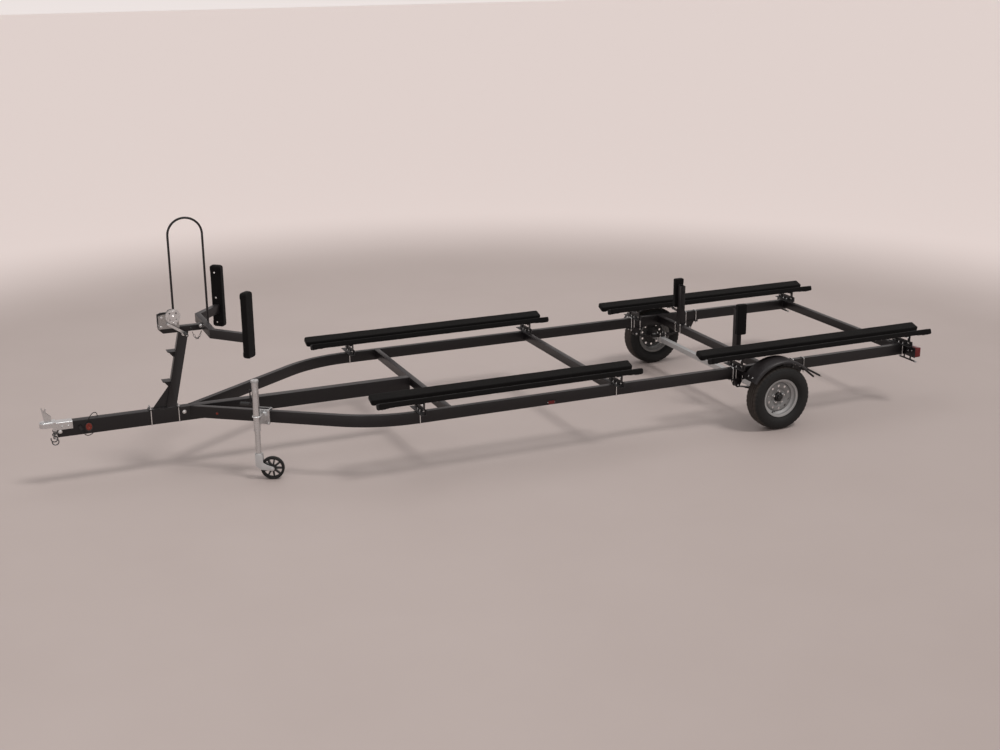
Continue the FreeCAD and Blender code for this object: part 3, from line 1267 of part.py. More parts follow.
frame = new_body("winch_frame")
base_rear = DRUM_AT.x - size("winch_behind")
base_front = CRANK_AT.x + size("winch_ahead")
cheek_top = DRUM_AT.z + size("winch_over")
cheek_side = new_sketch(
    frame, "cheek_side", "XZ_Plane",
    [[Vector(base_rear, WINCH_LOW, 0), Vector(base_front, WINCH_LOW, 0),
      Vector(base_front, cheek_top - size("cheek_corner"), 0),
      Vector(base_front - size("cheek_slope"), cheek_top, 0),
      Vector(DRUM_AT.x, cheek_top, 0), Vector(base_rear, DRUM_AT.z - size("cheek_rear"), 0)]],
    -UP * size("winch_near"))
pad(frame, cheek_side, "winch_near - winch_far", name="Cheeks")
between = new_sketch(
    frame, "between", "YZ_Plane",
    [box_outline(size("winch_far") + PLATE, WINCH_LOW + PLATE, size("winch_near") - PLATE, cheek_top + 1)],
    UP * (base_rear - 1))
pocket(frame, between, "winch_behind + winch_ahead + gear_module * (gear_teeth + pinion_teeth) / 2 + 2",
       name="Between", reverse=True)
bores = new_sketch(frame, "shaft_bores", "XZ_Plane", offset=-UP * (size("winch_near") + 1))
for spot in (DRUM_AT, CRANK_AT):
    add_circle(bores, spot.x, spot.z, SHAFT + size("shaft_fit"))
pocket(frame, bores, "winch_near - winch_far + 2", name="Bores", reverse=True)


def gear_wire(teeth, first):
    """Spur gear outline about the origin, one tooth centred on the angle first."""
    pitch = MODULE * teeth / 2
    base = pitch * math.cos(PRESSURE)
    root = pitch - TOOTH_DOWN
    foot_r = max(base, root)
    rolled = math.tan(PRESSURE) - PRESSURE
    half = math.pi / (2 * teeth) - size("tooth_play") / (4 * pitch) + rolled
    points = []
    for tooth in range(teeth):
        middle = first + 2 * math.pi * tooth / teeth
        for side in (-1, 1):
            flank = []
            for radius in (foot_r, (foot_r + pitch + TOOTH_UP) / 2, pitch + TOOTH_UP):
                roll = math.sqrt((radius / base) ** 2 - 1)
                flank.append((radius, half - (roll - math.atan(roll))))
            if root < foot_r:
                flank.insert(0, (root, half))
            for radius, angle in (flank if side < 0 else reversed(flank)):
                turn = middle + side * angle
                points.append(Vector(radius * math.cos(turn), 0, radius * math.sin(turn)))
    return Part.makePolygon(points + [points[0]])


def gear_shape(teeth, first, centre, y_low):
    gear = Part.Face(gear_wire(teeth, first)).extrude(LEFT * size("gear_thick"))
    gear.translate(Vector(centre.x, y_low, centre.z))
    return gear


def along_y(centre, y_low, y_high, radius):
    return rod(Vector(centre.x, y_low, centre.z), Vector(centre.x, y_high, centre.z), radius)


drum_far = size("winch_far") + PLATE + size("drum_play")
drum_near = size("winch_near") - PLATE - size("drum_play")
far_end = size("winch_far") - size("shaft_proud")
gear_far = GEAR_Y + size("gear_thick")
gear = gear_shape(TEETH[0], -slope, DRUM_AT, GEAR_Y)
for index in range(4):
    angle = math.radians(45 + 90 * index)
    spot = DRUM_AT + Vector(math.cos(angle), 0, math.sin(angle)) * (size("gear_ring") * MODULE * TEETH[0] / 2)
    gear = gear.cut(along_y(spot, GEAR_Y - 1, gear_far + 1, size("gear_hole") / 2))
drum = gear.fuse([
    along_y(DRUM_AT, far_end, gear_far + size("shaft_proud"), SHAFT),
    along_y(DRUM_AT, drum_far, drum_near, size("drum_dia") / 2)])
solid("winch_drum", drum.removeSplitter())

BAR_IN = gear_far + size("crank_clear")
BAR_OUT = BAR_IN + size("crank_bar")
GRIP_IN = BAR_OUT + size("gear_play")
GRIP_OUT = GRIP_IN + size("grip_long")
crank_down = math.radians(size("crank_down"))
crank_way = Vector(-math.cos(crank_down), 0, -math.sin(crank_down))
crank_tip = CRANK_AT + crank_way * size("crank_long")
pinion = gear_shape(TEETH[1], math.pi - slope + math.pi / TEETH[1], CRANK_AT, GEAR_Y)
crank = pinion.fuse([
    along_y(CRANK_AT, far_end, BAR_OUT + size("shaft_proud"), SHAFT),
    slot_plate(CRANK_AT + LEFT * BAR_IN, crank_tip + LEFT * BAR_IN, SHAFT + size("crank_eye"),
               size("crank_bar")),
    along_y(crank_tip, BAR_IN, GRIP_OUT + size("shaft_proud"), size("crank_pin") / 2),
    along_y(crank_tip, GRIP_IN, GRIP_OUT, size("grip_dia") / 2)])
solid("winch_crank", crank.removeSplitter())

# %% Jack on the left rail: mount, swivelling tube, leg, caster fork and wheel

OUT = Vector(math.sin(TURN), math.cos(TURN), 0)
FORE = Vector(math.cos(TURN), -math.sin(TURN), 0)
bend_middle = Vector(station(size("bend_start")), size("rail_outer") - size("bend_radius"), 0)
JACK = at(size("jack_station"), size("jack_side"), 0)
STAND_OFF = (JACK - bend_middle).dot(OUT) - size("bend_radius")
FACE = JACK - OUT * STAND_OFF
PIVOT = FACE + UP * size("pivot_up")
PIVOT_R = size("pivot_disc") / 2


def rail_box(out1, out2, along, z1, z2):
    """Box square to the slanting rail, from its outer face outward."""
    corner_at = FACE + OUT * out1 - FORE * (along / 2) + UP * z1
    points = [corner_at, corner_at + FORE * along, corner_at + FORE * along + OUT * (out2 - out1),
              corner_at + OUT * (out2 - out1)]
    return prism(points, UP * (z2 - z1))


PLATE_OUT = size("mount_thick")
DISC_OUT = PLATE_OUT + size("disc_thick")
SWIVEL_IN = DISC_OUT + size("swivel_play")
SWIVEL_OUT = SWIVEL_IN + size("swivel_plate")
PIN_OUT = SWIVEL_OUT + size("bolt_proud") / 2
mount_low = size("rail_under") - size("mount_over")
mount_high = RAIL_TOP + size("mount_over")
back_face = size("rail_across") + GAP
back_out = back_face + size("mount_back")
mount = rail_box(GAP, PLATE_OUT, size("mount_long"), mount_low, mount_high)
mount = mount.fuse([rod(PIVOT + OUT * PLATE_OUT, PIVOT + OUT * DISC_OUT, PIVOT_R),
                    rod(PIVOT + OUT * PLATE_OUT, PIVOT + OUT * PIN_OUT, size("pivot_pin") / 2)])
back_plate = rail_box(-back_out, -back_face, size("mount_long"), mount_low, mount_high)
bolt_along = size("mount_long") / 2 - size("bolt_inset")
for height in (size("rail_under") - size("mount_over") / 2, RAIL_TOP + size("mount_over") / 2):
    for along in (-bolt_along, bolt_along):
        bolt_at = FACE + FORE * along + UP * height
        mount = mount.fuse(rod(bolt_at - OUT * (back_out + size("bolt_proud")),
                               bolt_at + OUT * (PLATE_OUT + size("bolt_proud")), size("mount_bolt") / 2))
solid("jack_mount", mount.fuse(back_plate).removeSplitter())

tube_r = size("jack_out") / 2
leg_r = size("jack_in") / 2
tube_long = size("jack_top") - size("jack_end")
tube = Part.makeCylinder(tube_r, tube_long, JACK + UP * size("jack_end"))
bore = Part.makeCylinder(leg_r + size("jack_fit"), tube_long - size("jack_cap") + 1,
                         JACK + UP * (size("jack_end") - 1))
cap = Part.makeCylinder(tube_r + size("cap_out"), size("jack_cap"),
                        JACK + UP * (size("jack_top") - size("jack_cap") / 2))
swivel = rod(PIVOT + OUT * SWIVEL_IN, PIVOT + OUT * SWIVEL_OUT, PIVOT_R)
saddle_half = size("saddle_tall") / 2
saddle = rail_box(SWIVEL_OUT, STAND_OFF - tube_r + size("saddle_in"), size("saddle_long"),
                  size("pivot_up") - saddle_half, size("pivot_up") + saddle_half)
pin_hole = rod(PIVOT + OUT * (SWIVEL_IN - 1), PIVOT + OUT * (PIN_OUT + 1),
               size("pivot_pin") / 2 + size("shaft_fit"))
solid("jack_tube", tube.fuse([cap, swivel, saddle]).cut(bore).cut(pin_hole).removeSplitter())

grip_at = JACK + FORE * (tube_r + GAP) + UP * size("handle_up")
shaft_at = grip_at + UP * size("handle_rise")
arm_at = grip_at + FORE * size("handle_off")
arm_r = size("handle_arm") / 2
past_arm = arm_r + size("handle_past")
handle = rod(shaft_at, shaft_at + FORE * (size("handle_off") + past_arm), size("handle_shaft") / 2)
handle = handle.fuse([
    rod(arm_at - UP * arm_r, arm_at + UP * (size("handle_rise") + arm_r), arm_r),
    rod(arm_at - FORE * past_arm, arm_at + FORE * (size("handle_long") - past_arm), size("handle_grip") / 2)])
solid("jack_crank", handle.removeSplitter())

LEG_END = size("leg_end")
STUD = size("caster_stud") / 2
leg = Part.makeCylinder(leg_r, size("leg_up"), JACK + UP * LEG_END)
leg = leg.fuse(Part.makeCylinder(STUD, size("stud_long"), JACK + UP * (LEG_END - size("stud_long"))))
solid("jack_leg", leg.removeSplitter())

caster_angle = math.radians(size("caster_turn"))
BACK = Vector(-math.cos(caster_angle), math.sin(caster_angle), 0)
ASIDE = Vector(-BACK.y, BACK.x, 0)
CASTER_R = size("caster_wheel") / 2
CASTER_AT = JACK + BACK * size("caster_trail") + UP * CASTER_R
fork_out = size("caster_wide") / 2 + size("fork_play") + size("fork_plate")
fork_top = LEG_END - size("swivel_play")
crown_low = fork_top - size("fork_crown")
ahead_by = -BACK * size("fork_ahead")
behind_by = BACK * size("fork_behind")
crown_at = JACK + UP * crown_low
fork = prism([crown_at + ASIDE * fork_out + ahead_by, crown_at - ASIDE * fork_out + ahead_by,
              crown_at - ASIDE * fork_out + behind_by, crown_at + ASIDE * fork_out + behind_by],
             UP * size("fork_crown"))
foot_r = size("fork_foot")
for hand in (-1, 1):
    root = JACK + ASIDE * (hand * fork_out) + UP * fork_top
    low_end = CASTER_AT + ASIDE * (hand * fork_out)
    inward_by = ASIDE * (-hand * size("fork_plate"))
    cheek = prism([root + ahead_by, root + behind_by, low_end + BACK * foot_r, low_end - BACK * foot_r,
                   root + ahead_by - UP * foot_r], inward_by)
    fork = fork.fuse([cheek, rod(low_end, low_end + inward_by, foot_r)])
pin_end = fork_out + size("fork_plate")
fork = fork.fuse(rod(CASTER_AT - ASIDE * pin_end, CASTER_AT + ASIDE * pin_end, size("caster_axle") / 2))
stud_hole = Part.makeCylinder(STUD + size("shaft_fit"), size("stud_long") + 1,
                              JACK + UP * (LEG_END - size("stud_long")))
solid("jack_fork", fork.cut(stud_hole).removeSplitter())

wide = size("caster_wide") / 2
axle_hole = size("caster_axle") / 2 + size("shaft_fit")
hub_r = size("caster_hub")
web = size("caster_web") / 2
ring_in = CASTER_R - size("caster_tread")
edge = size("caster_edge")
HALF_PROFILE = [(CASTER_R, wide - 2 * edge), (CASTER_R - edge, wide - edge / 2), (ring_in, wide - edge / 2),
                (ring_in, web), (hub_r, web), (hub_r, wide), (axle_hole, wide)]
CASTER_PROFILE = HALF_PROFILE + [(radius, -across) for radius, across in reversed(HALF_PROFILE)]
caster_points = [Vector(radius, across, 0) for radius, across in CASTER_PROFILE]
caster = Part.Face(Part.makePolygon(caster_points + [caster_points[0]])).revolve(Vector(0, 0, 0), LEFT, 360)
caster.rotate(Vector(0, 0, 0), UP, math.degrees(math.atan2(ASIDE.y, ASIDE.x)) - 90)
caster.translate(CASTER_AT)
solid("jack_wheel", caster)

# %% Tail lights: a box on a plate across the rail's end, a bar along the plate's foot

lamp_front = station(size("rail_rear") - GAP)
lamp_back = lamp_front - size("lamp_plate")
lamp_out = size("lamp_side") + size("lamp_wide")
bar_r = size("lamp_bar") / 2
plate_in = RAIL_IN - size("lamp_inset")
plate_out = lamp_out + size("lamp_beyond")
lamp = cuboid(lamp_back, plate_in, size("lamp_foot"), lamp_front, plate_out,
              RAIL_TOP - size("lamp_under"))
lamp_box = cuboid(lamp_back - size("lamp_deep"), size("lamp_side"), size("lamp_top") - size("lamp_tall"),
                  lamp_back, lamp_out, size("lamp_top"))
box_edges = [edge for edge in lamp_box.Edges if edge.BoundBox.XMax < lamp_back - 1]
lamp_box = lamp_box.makeFillet(size("lamp_round"), box_edges)
bar_in = Vector(lamp_back + size("lamp_plate") / 2, plate_in, size("lamp_foot"))
lamp_bar = rod(bar_in, bar_in + LEFT * (plate_out + bar_r - plate_in), bar_r)
mirrored(solid("tail_light_left", lamp.fuse([lamp_box, lamp_bar]).removeSplitter()), "tail_light_right")

# %% Check and write

doc.recompute()
MANY = {"bunk_brackets_left": len(BRACKETS), "bunk_brackets_right": len(BRACKETS),
        "safety_chains": len(chains)}
NODES = [obj for obj in doc.Objects
         if obj.TypeId in ("PartDesign::Body", "Part::Feature", "Part::Mirroring")]
for obj in doc.Objects:
    if "Invalid" in obj.State or "Error" in obj.State:
        raise ValueError("%s did not compute: %s" % (obj.Label, obj.State))
os.makedirs("parts", exist_ok=True)
for obj in NODES:
    shape = obj.Shape
    if shape.isNull() or not shape.isValid():
        raise ValueError("%s has no valid shape" % obj.Label)
    if len(shape.Solids) != MANY.get(obj.Label, 1):
        raise ValueError("%s has %d solids" % (obj.Label, len(shape.Solids)))
    shape.exportStep("parts/%s.step" % obj.Label)
    box = shape.BoundBox
    print("%-26s x %8.1f %8.1f  y %8.1f %8.1f  z %7.1f %7.1f  volume %10.0f" % (
        obj.Label, box.XMin, box.XMax, box.YMin, box.YMax, box.ZMin, box.ZMax, shape.Volume))
print("ball at x %.3f z %.3f, socket mouth %.3f, crank shaft x %.3f z %.3f" % (
    ball_x, BALL_UP, NOSE_LOW, CRANK_AT.x, CRANK_AT.z))
print(len(NODES), "pieces")
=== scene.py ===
# %% [markdown]
# A boat trailer, finished for the picture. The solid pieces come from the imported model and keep
# their size and place. This file gives each one its surface, and adds what is too fine for the
# solids: tread, carpet, U-bolts, nuts, lenses and the strap on the winch.

import contextlib
import itertools
import math

import bmesh
import bpy
from mathutils import Matrix, Vector, noise


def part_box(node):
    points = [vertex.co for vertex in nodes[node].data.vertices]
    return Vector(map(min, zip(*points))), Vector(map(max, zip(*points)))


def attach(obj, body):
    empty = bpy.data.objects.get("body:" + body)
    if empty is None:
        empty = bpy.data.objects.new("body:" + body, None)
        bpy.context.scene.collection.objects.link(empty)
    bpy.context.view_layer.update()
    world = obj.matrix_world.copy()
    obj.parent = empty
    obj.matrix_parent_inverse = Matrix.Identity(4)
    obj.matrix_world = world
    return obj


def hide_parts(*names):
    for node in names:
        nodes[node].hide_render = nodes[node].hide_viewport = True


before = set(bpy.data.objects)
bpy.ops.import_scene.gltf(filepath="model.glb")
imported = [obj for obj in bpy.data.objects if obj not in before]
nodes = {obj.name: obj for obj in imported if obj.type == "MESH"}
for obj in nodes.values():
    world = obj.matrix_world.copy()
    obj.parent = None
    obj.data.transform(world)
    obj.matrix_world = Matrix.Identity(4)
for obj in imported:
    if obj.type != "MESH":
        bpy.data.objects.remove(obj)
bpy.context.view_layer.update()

# %% [markdown]
# Positions repeat those of the model. Stations along the trailer are metres ahead of the axle, so
# one small function turns them into the shared frame, where X = 0 is the middle of the trailer.
# A few other small functions save repeated lines further on.

# %% Places
axle_box, rail_box, tyre_box = (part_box(name) for name in ("axle_tube", "side_rail_left", "tyre_left"))
AXLE_X = (axle_box[0][0] + axle_box[1][0]) / 2
RAIL_LOW, RAIL_TOP = rail_box[0][2], rail_box[1][2]
RAIL_OUT = rail_box[1][1]
RAIL_WIDE = 0.0508
RAIL_MID = RAIL_OUT - RAIL_WIDE / 2
WHEEL_UP = tyre_box[1][2] / 2
TRACK = (tyre_box[0][1] + tyre_box[1][1]) / 2
SIDES = (("left", 1), ("right", -1))


def at(x, y, z):
    """A point given by its distance ahead of the axle."""
    return Vector((AXLE_X + x, y, z))


def up(height):
    return Vector((0, 0, height))


def tuned(thing, **settings):
    """The thing with its settings."""
    for key, value in settings.items():
        setattr(thing, key, value)
    return thing


def add_object(name, data):
    made = bpy.data.objects.new(name, data)
    bpy.context.collection.objects.link(made)
    return made


def spoke(turn):
    """The way out from a line along Y, at an angle from straight ahead."""
    return Vector((math.cos(turn), 0, math.sin(turn)))


print("axle at", round(AXLE_X, 4), "rail top", round(RAIL_TOP, 4), "track", round(TRACK, 4))

# %% [markdown]
# The camera stands ahead of the trailer on its left side, a little above head height, and looks
# back along it. Its place and angles were solved from the edges of the frame in the photograph.

# %% Camera
CAMERA_AT = Vector((4.978, 11.782, 4.4035))
YAW, PITCH, ROLL = math.radians(-113.054), math.radians(-17.061), math.radians(-0.465)
LENS = 50.87


def camera_axes():
    """Right, up and back of a camera with that yaw, pitch and roll."""
    level = math.cos(PITCH)
    ahead = Vector((level * math.cos(YAW), level * math.sin(YAW), math.sin(PITCH)))
    right = ahead.cross(up(1)).normalized()
    turn = Matrix.Rotation(ROLL, 3, -ahead)
    return turn @ right, turn @ right.cross(ahead), -ahead


camera = add_object("camera", tuned(bpy.data.cameras.new("camera"), lens=LENS, sensor_width=36, clip_end=200))
camera.matrix_world = Matrix.Translation(CAMERA_AT) @ Matrix(camera_axes()).transposed().to_4x4()
bpy.context.scene.camera = camera
bpy.context.scene.view_settings.view_transform = "Standard"
print("camera at", tuple(round(v, 3) for v in CAMERA_AT))

# %% [markdown]
# Shader maths reads best as sums. Wire wraps one socket, and each operator on it adds one Math
# node. Finish holds one material. Every node, here and in the trees that grow bolts, is made by
# one function, which links or sets its inputs.

# %% Shader helper


def fill(tree, socket, value):
    """Link a socket, or set its value."""
    value = getattr(value, "socket", value)
    if isinstance(value, bpy.types.NodeSocket):
        tree.links.new(value, socket)
    else:
        socket.default_value = value


def add_node(tree, kind, settings=None, inputs=None, output=0):
    """A node with its settings and inputs; one of its outputs comes back."""
    made = tuned(tree.nodes.new(kind), **(settings or {}))
    for key, value in (inputs or {}).items():
        for item in value if isinstance(value, list) else [value]:
            fill(tree, made.inputs[key], item)
    return made.outputs[output] if made.outputs else None


def joined_by(operation, swapped=False):
    """A method that joins two values with one Math node."""
    def method(self, other):
        return self.maths(operation, *((other, self) if swapped else (self, other)))
    return method


class Wire:
    """One socket that can be used in sums."""

    __add__, __radd__ = joined_by("ADD"), joined_by("ADD", swapped=True)
    __sub__, __rsub__ = joined_by("SUBTRACT"), joined_by("SUBTRACT", swapped=True)
    __mul__, __truediv__, __pow__ = joined_by("MULTIPLY"), joined_by("DIVIDE"), joined_by("POWER")

    def __init__(self, finish, socket):
        self.finish = finish
        self.socket = socket

    def maths(self, operation, *values):
        return self.finish.node("ShaderNodeMath", {"operation": operation}, dict(enumerate(values)))

    def clamped(self):
        return self.maths("MINIMUM", self.maths("MAXIMUM", self, 0.0), 1.0)

    def sine(self):
        return self.maths("SINE", self)


class Finish:
    """One material: a Principled shader and the nodes that feed it."""

    def __init__(self, name):
        self.material = bpy.data.materials.new(name)
        self.material.use_nodes = True
        self.tree = self.material.node_tree
        self.tree.nodes.clear()
        self.shader = self.tree.nodes.new("ShaderNodeBsdfPrincipled")
        add_node(self.tree, "ShaderNodeOutputMaterial", {}, {"Surface": self.shader.outputs["BSDF"]})

    def node(self, kind, settings=None, inputs=None, output=0):
        return Wire(self, add_node(self.tree, kind, settings, inputs, output))

    def set(self, **values):
        """Values or wires for the shader's own sockets, with _ for the spaces in their names."""
        for key, value in values.items():
            fill(self.tree, self.shader.inputs[key.replace("_", " ")], value)

    def spot(self):
        """Object coordinates."""
        return self.node("ShaderNodeTexCoord", output="Object")

    def noise(self, scale, detail=3.0, roughness=0.55):
        return self.node("ShaderNodeTexNoise", {}, {
            "Vector": self.spot(), "Scale": scale, "Detail": detail, "Roughness": roughness}, output="Fac")

    def mix(self, share, first, second):
        """Colour between two colours."""
        return self.node("ShaderNodeMix", {"data_type": "RGBA"}, {0: share, 6: first, 7: second}, output=2)

    def bump(self, height, distance, strength):
        return self.node("ShaderNodeBump", {}, {"Height": height, "Distance": distance, "Strength": strength})

    def parts(self, vector):
        """The X, Y and Z of a vector."""
        split = self.node("ShaderNodeSeparateXYZ", {}, {0: vector})
        return [Wire(self, socket) for socket in split.socket.node.outputs]

    def normal(self):
        return self.parts(self.node("ShaderNodeNewGeometry", output="Normal"))

    def facing_up(self):
        """1 where the surface looks up, 0 on sides and below."""
        return self.normal()[2].clamped()

    def radius(self, middle):
        """Distance from the line along Y through a point."""
        x, _, z = self.parts(self.spot())
        x, z = x - middle[0], z - middle[2]
        return (x * x + z * z) ** 0.5


def grey(value, warm=0.0):
    """An opaque grey, a little warmer or cooler."""
    return (value * (1 + warm), value, value * (1 - warm), 1.0)


def darker(colour, share):
    return tuple(c * share for c in colour[:3]) + (1.0,)


# %% [markdown]
# The frame is steel under satin black paint. Real paint is never one flat black: it has a fine
# orange peel, a little dust on whatever looks up, and its gloss changes in soft patches. The
# colour stays almost black, and the light on it comes from the gloss.

# %% Black paint


def black_paint():
    paint = Finish("black_paint")
    patches = paint.noise(3.0, 4.0)
    grime = paint.noise(38.0, 5.0, 0.65)
    dust = paint.facing_up() * (grime * 0.5 + patches * 0.4) * 0.5
    paint.set(Base_Color=paint.mix(dust, (0.0068, 0.0056, 0.0064, 1), (0.070, 0.060, 0.061, 1)),
              Roughness=0.3 + patches * 0.14 + dust * 0.3,
              Specular_IOR_Level=0.38)
    paint.set(Normal=paint.bump(paint.noise(900.0, 2.0), 0.00012, 0.5))
    return paint.material


# %% [markdown]
# Zinc plate is pale, a little blue or yellow in patches, with a fine crystal grain. The same
# recipe in other tones serves bright bolts, the silver rims and cast pieces. For the rims, the
# wheel discs and the jack cap it also paints shade: faces that look towards the trailer's middle
# take a darker tone.

# %% Metals


def plated_metal(name, tone, warm, rough, metallic=1.0, spangle=0.12, inward_shade=None):
    """A metal; an inside tone, if given, is painted shade: the darker colour of faces that look towards the
    trailer's middle.
    """
    metal = Finish(name)
    grain = metal.noise(160.0, 3.0)
    patches = metal.noise(14.0, 4.0)
    share = (grain * 0.5 + patches * 0.5).clamped()
    base = metal.mix(share, grey(tone * (1 - spangle), warm), grey(tone * (1 + spangle), -warm))
    # Painted shade: faces turned towards the trailer's middle are darkened, in place of the shadow inside the
    # wheels.
    if inward_shade is not None:
        inward = metal.parts(metal.spot())[1] * metal.normal()[1] * -2.5
        base = metal.mix(inward.clamped(), base, grey(inward_shade, 0.03))
    metal.set(Base_Color=base, Roughness=rough + grain * 0.16 - 0.05, Metallic=metallic)
    metal.set(Normal=metal.bump(grain, 0.0002, 0.35))
    return metal.material


# %% [markdown]
# The boards wear marine carpet: a short looped pile, almost black, that eats the light and shows
# only a faint sheen at its edges. Two noises, a coarse one for the tufts and a fine one for the
# fibres, drive colour and bump together.

# %% Carpet


def carpet():
    pile = Finish("carpet")
    tufts = pile.noise(420.0, 2.0, 0.6)
    fibres = pile.noise(1600.0, 2.0, 0.7)
    wear = pile.noise(7.0, 4.0)
    dust = pile.facing_up() * wear * 0.5
    shade = (tufts * 0.7 + fibres * 0.3).clamped()
    base = pile.mix(shade, (0.0022, 0.0020, 0.0022, 1), (0.0085, 0.0078, 0.0078, 1))
    pile.set(Base_Color=pile.mix(dust, base, (0.014, 0.013, 0.012, 1)), Roughness=0.95,
             Sheen_Weight=0.06, Sheen_Roughness=0.5, Specular_IOR_Level=0.1)
    pile.set(Normal=pile.bump(tufts + fibres * 0.5, 0.0014, 0.8))
    return pile.material


# %% [markdown]
# Tyre rubber is a warm dark grey with a dull sidewall. Dust from the road makes the tread a
# little brown. The radius is worked out from the Object coordinates, so the brown stays on the
# tread. Lenses are clear coloured plastic: fine cells show under a smooth coat.

# %% Rubber and plastics


def rubber(name="tyre_rubber", road_dust=True):
    tyre = Finish(name)
    fine = tyre.noise(240.0, 3.0)
    patches = tyre.noise(9.0, 4.0)
    base = tyre.mix(patches, grey(0.0050), grey(0.0085, 0.04))
    if road_dust:
        tread = ((tyre.radius((AXLE_X, 0, WHEEL_UP)) - 0.288) * 80.0).clamped()
        base = tyre.mix(tread * (0.35 + fine * 0.5), base, (0.052, 0.040, 0.033, 1))
    tyre.set(Base_Color=base, Roughness=0.62 + fine * 0.18, Specular_IOR_Level=0.38)
    tyre.set(Normal=tyre.bump(fine, 0.0004, 0.4))
    return tyre.material


def plastic(name, colour, rough=0.4, grain=0.3):
    skin = Finish(name)
    fine = skin.noise(500.0, 2.0)
    patches = skin.noise(12.0, 3.0)
    skin.set(Base_Color=skin.mix(patches, darker(colour, 0.8), colour), Roughness=rough + fine * 0.1)
    skin.set(Normal=skin.bump(fine, 0.0002, grain))
    return skin.material


def lens(name, colour):
    cover = Finish(name)
    cells = cover.node("ShaderNodeTexVoronoi", {"feature": "F1"}, {"Vector": cover.spot(), "Scale": 260.0},
                       output="Distance")
    cover.set(Base_Color=cover.mix((cells * 1.6).clamped(), colour, darker(colour, 0.35)), Roughness=0.22,
              Specular_IOR_Level=0.3, Coat_Weight=0.35, Coat_Roughness=0.08)
    cover.set(Normal=cover.bump(cells, 0.0006, 0.4))
    return cover.material


PAINT = black_paint()
ZINC = plated_metal("zinc_plate", 0.60, 0.012, 0.26, spangle=0.2)
BRIGHT = plated_metal("bright_bolt", 0.74, 0.0, 0.18)
GALVANISED = plated_metal("galvanised", 0.50, 0.03, 0.46, metallic=0.4, spangle=0.10)
FRAME_ZINC = plated_metal("frame_zinc", 0.34, -0.06, 0.26, spangle=0.3)
# The rims, the wheel discs and the jack cap carry painted shade on their inward faces.
SILVER = plated_metal("rim_silver", 0.36, 0.012, 0.52, metallic=0.25, spangle=0.04, inward_shade=0.16)
DISC_SILVER = plated_metal("disc_silver", 0.22, 0.012, 0.50, metallic=0.25, spangle=0.05, inward_shade=0.035)
DULL = plated_metal("dull_steel", 0.22, 0.03, 0.42)
CHAIN = plated_metal("chain_steel", 0.12, 0.12, 0.36)
CARPET = carpet()
RUBBER = rubber()
BLACK_RUBBER = rubber("black_rubber", road_dust=False)
BLACK_PLASTIC = plastic("black_plastic", grey(0.016), 0.42)
GLOSS_BLACK = plastic("gloss_black", grey(0.008), 0.16, 0.05)
RED_LENS = lens("red_lens", (0.26, 0.004, 0.005, 1))
DARK_RED_LENS = lens("dark_red_lens", (0.34, 0.030, 0.012, 1))
print("finishes:", len(bpy.data.materials))

# %% [markdown]
# The trailer stands on a plain pale floor in a bright room. The floor's colour fades, far from the
# trailer, into the pale tone of the walls, so that there is no hard line behind the tubes. A soft
# sun gives the shadow, and two lamps give light lines along the tubes. The camera and the gloss
# see walls whose tone changes with height, while the rest of the light is one even tone.

# %% Floor and light
FLOOR_HALF = 90.0
FADE_FROM, FADE_OVER = 6.6, 4.6
WALL_TONES = [
    (0.0, (0.84, 0.77, 0.75, 1)), (0.36, (0.84, 0.78, 0.76, 1)), (0.50, (0.26, 0.24, 0.24, 1)),
    (0.72, (0.20, 0.19, 0.19, 1)), (0.80, (1.0, 1.0, 1.0, 1)), (0.90, (1.0, 1.0, 1.0, 1)),
    (0.96, (0.28, 0.26, 0.26, 1))]


def new_mesh(name, points, edges=(), faces=()):
    mesh = bpy.data.meshes.new(name)
    mesh.from_pydata(points, edges, faces)
    return mesh


def coated(mesh, material):
    mesh.materials.clear()
    mesh.materials.append(material)
    return mesh


def pale_floor():
    ground = Finish("pale_floor")
    far = ground.node("ShaderNodeVectorMath", {"operation": "LENGTH"}, {0: ground.spot()}, output=1)
    fade = ((far - FADE_FROM) / FADE_OVER).clamped()
    near = ground.mix(ground.noise(0.8, 3.0), (0.455, 0.392, 0.372, 1), (0.495, 0.432, 0.412, 1))
    ground.set(Base_Color=ground.mix(fade * fade * (3.0 - fade * 2.0), near, (0.92, 0.83, 0.81, 1)),
               Roughness=0.6)
    corners = [(x * FLOOR_HALF, y * FLOOR_HALF, 0) for x, y in ((-1, -1), (1, -1), (1, 1), (-1, 1))]
    floor = add_object("floor", coated(new_mesh("floor", corners, faces=[(0, 1, 2, 3)]), ground.material))


def lamp(name, kind, spot, target, power, **settings):
    """A lamp that looks at a point."""
    made = add_object(name, tuned(bpy.data.lights.new(name, kind), energy=power, **settings))
    made.location = spot
    made.rotation_euler = (Vector(target) - made.location).to_track_quat("-Z", "Y").to_euler()


def walls(room):
    """A background whose tone goes by height."""
    way = add_node(room, "ShaderNodeTexCoord", output="Generated")
    height = add_node(room, "ShaderNodeSeparateXYZ", {}, {0: way}, output=2)
    tones = add_node(room, "ShaderNodeValToRGB", {}, {0: height})
    stops = tones.node.color_ramp.elements
    for index, (place, tone) in enumerate(WALL_TONES):
        tuned(stops[index] if index < 2 else stops.new(place), position=place, color=tone)
    return add_node(room, "ShaderNodeBackground", {}, {"Color": tones, "Strength": 1.0})


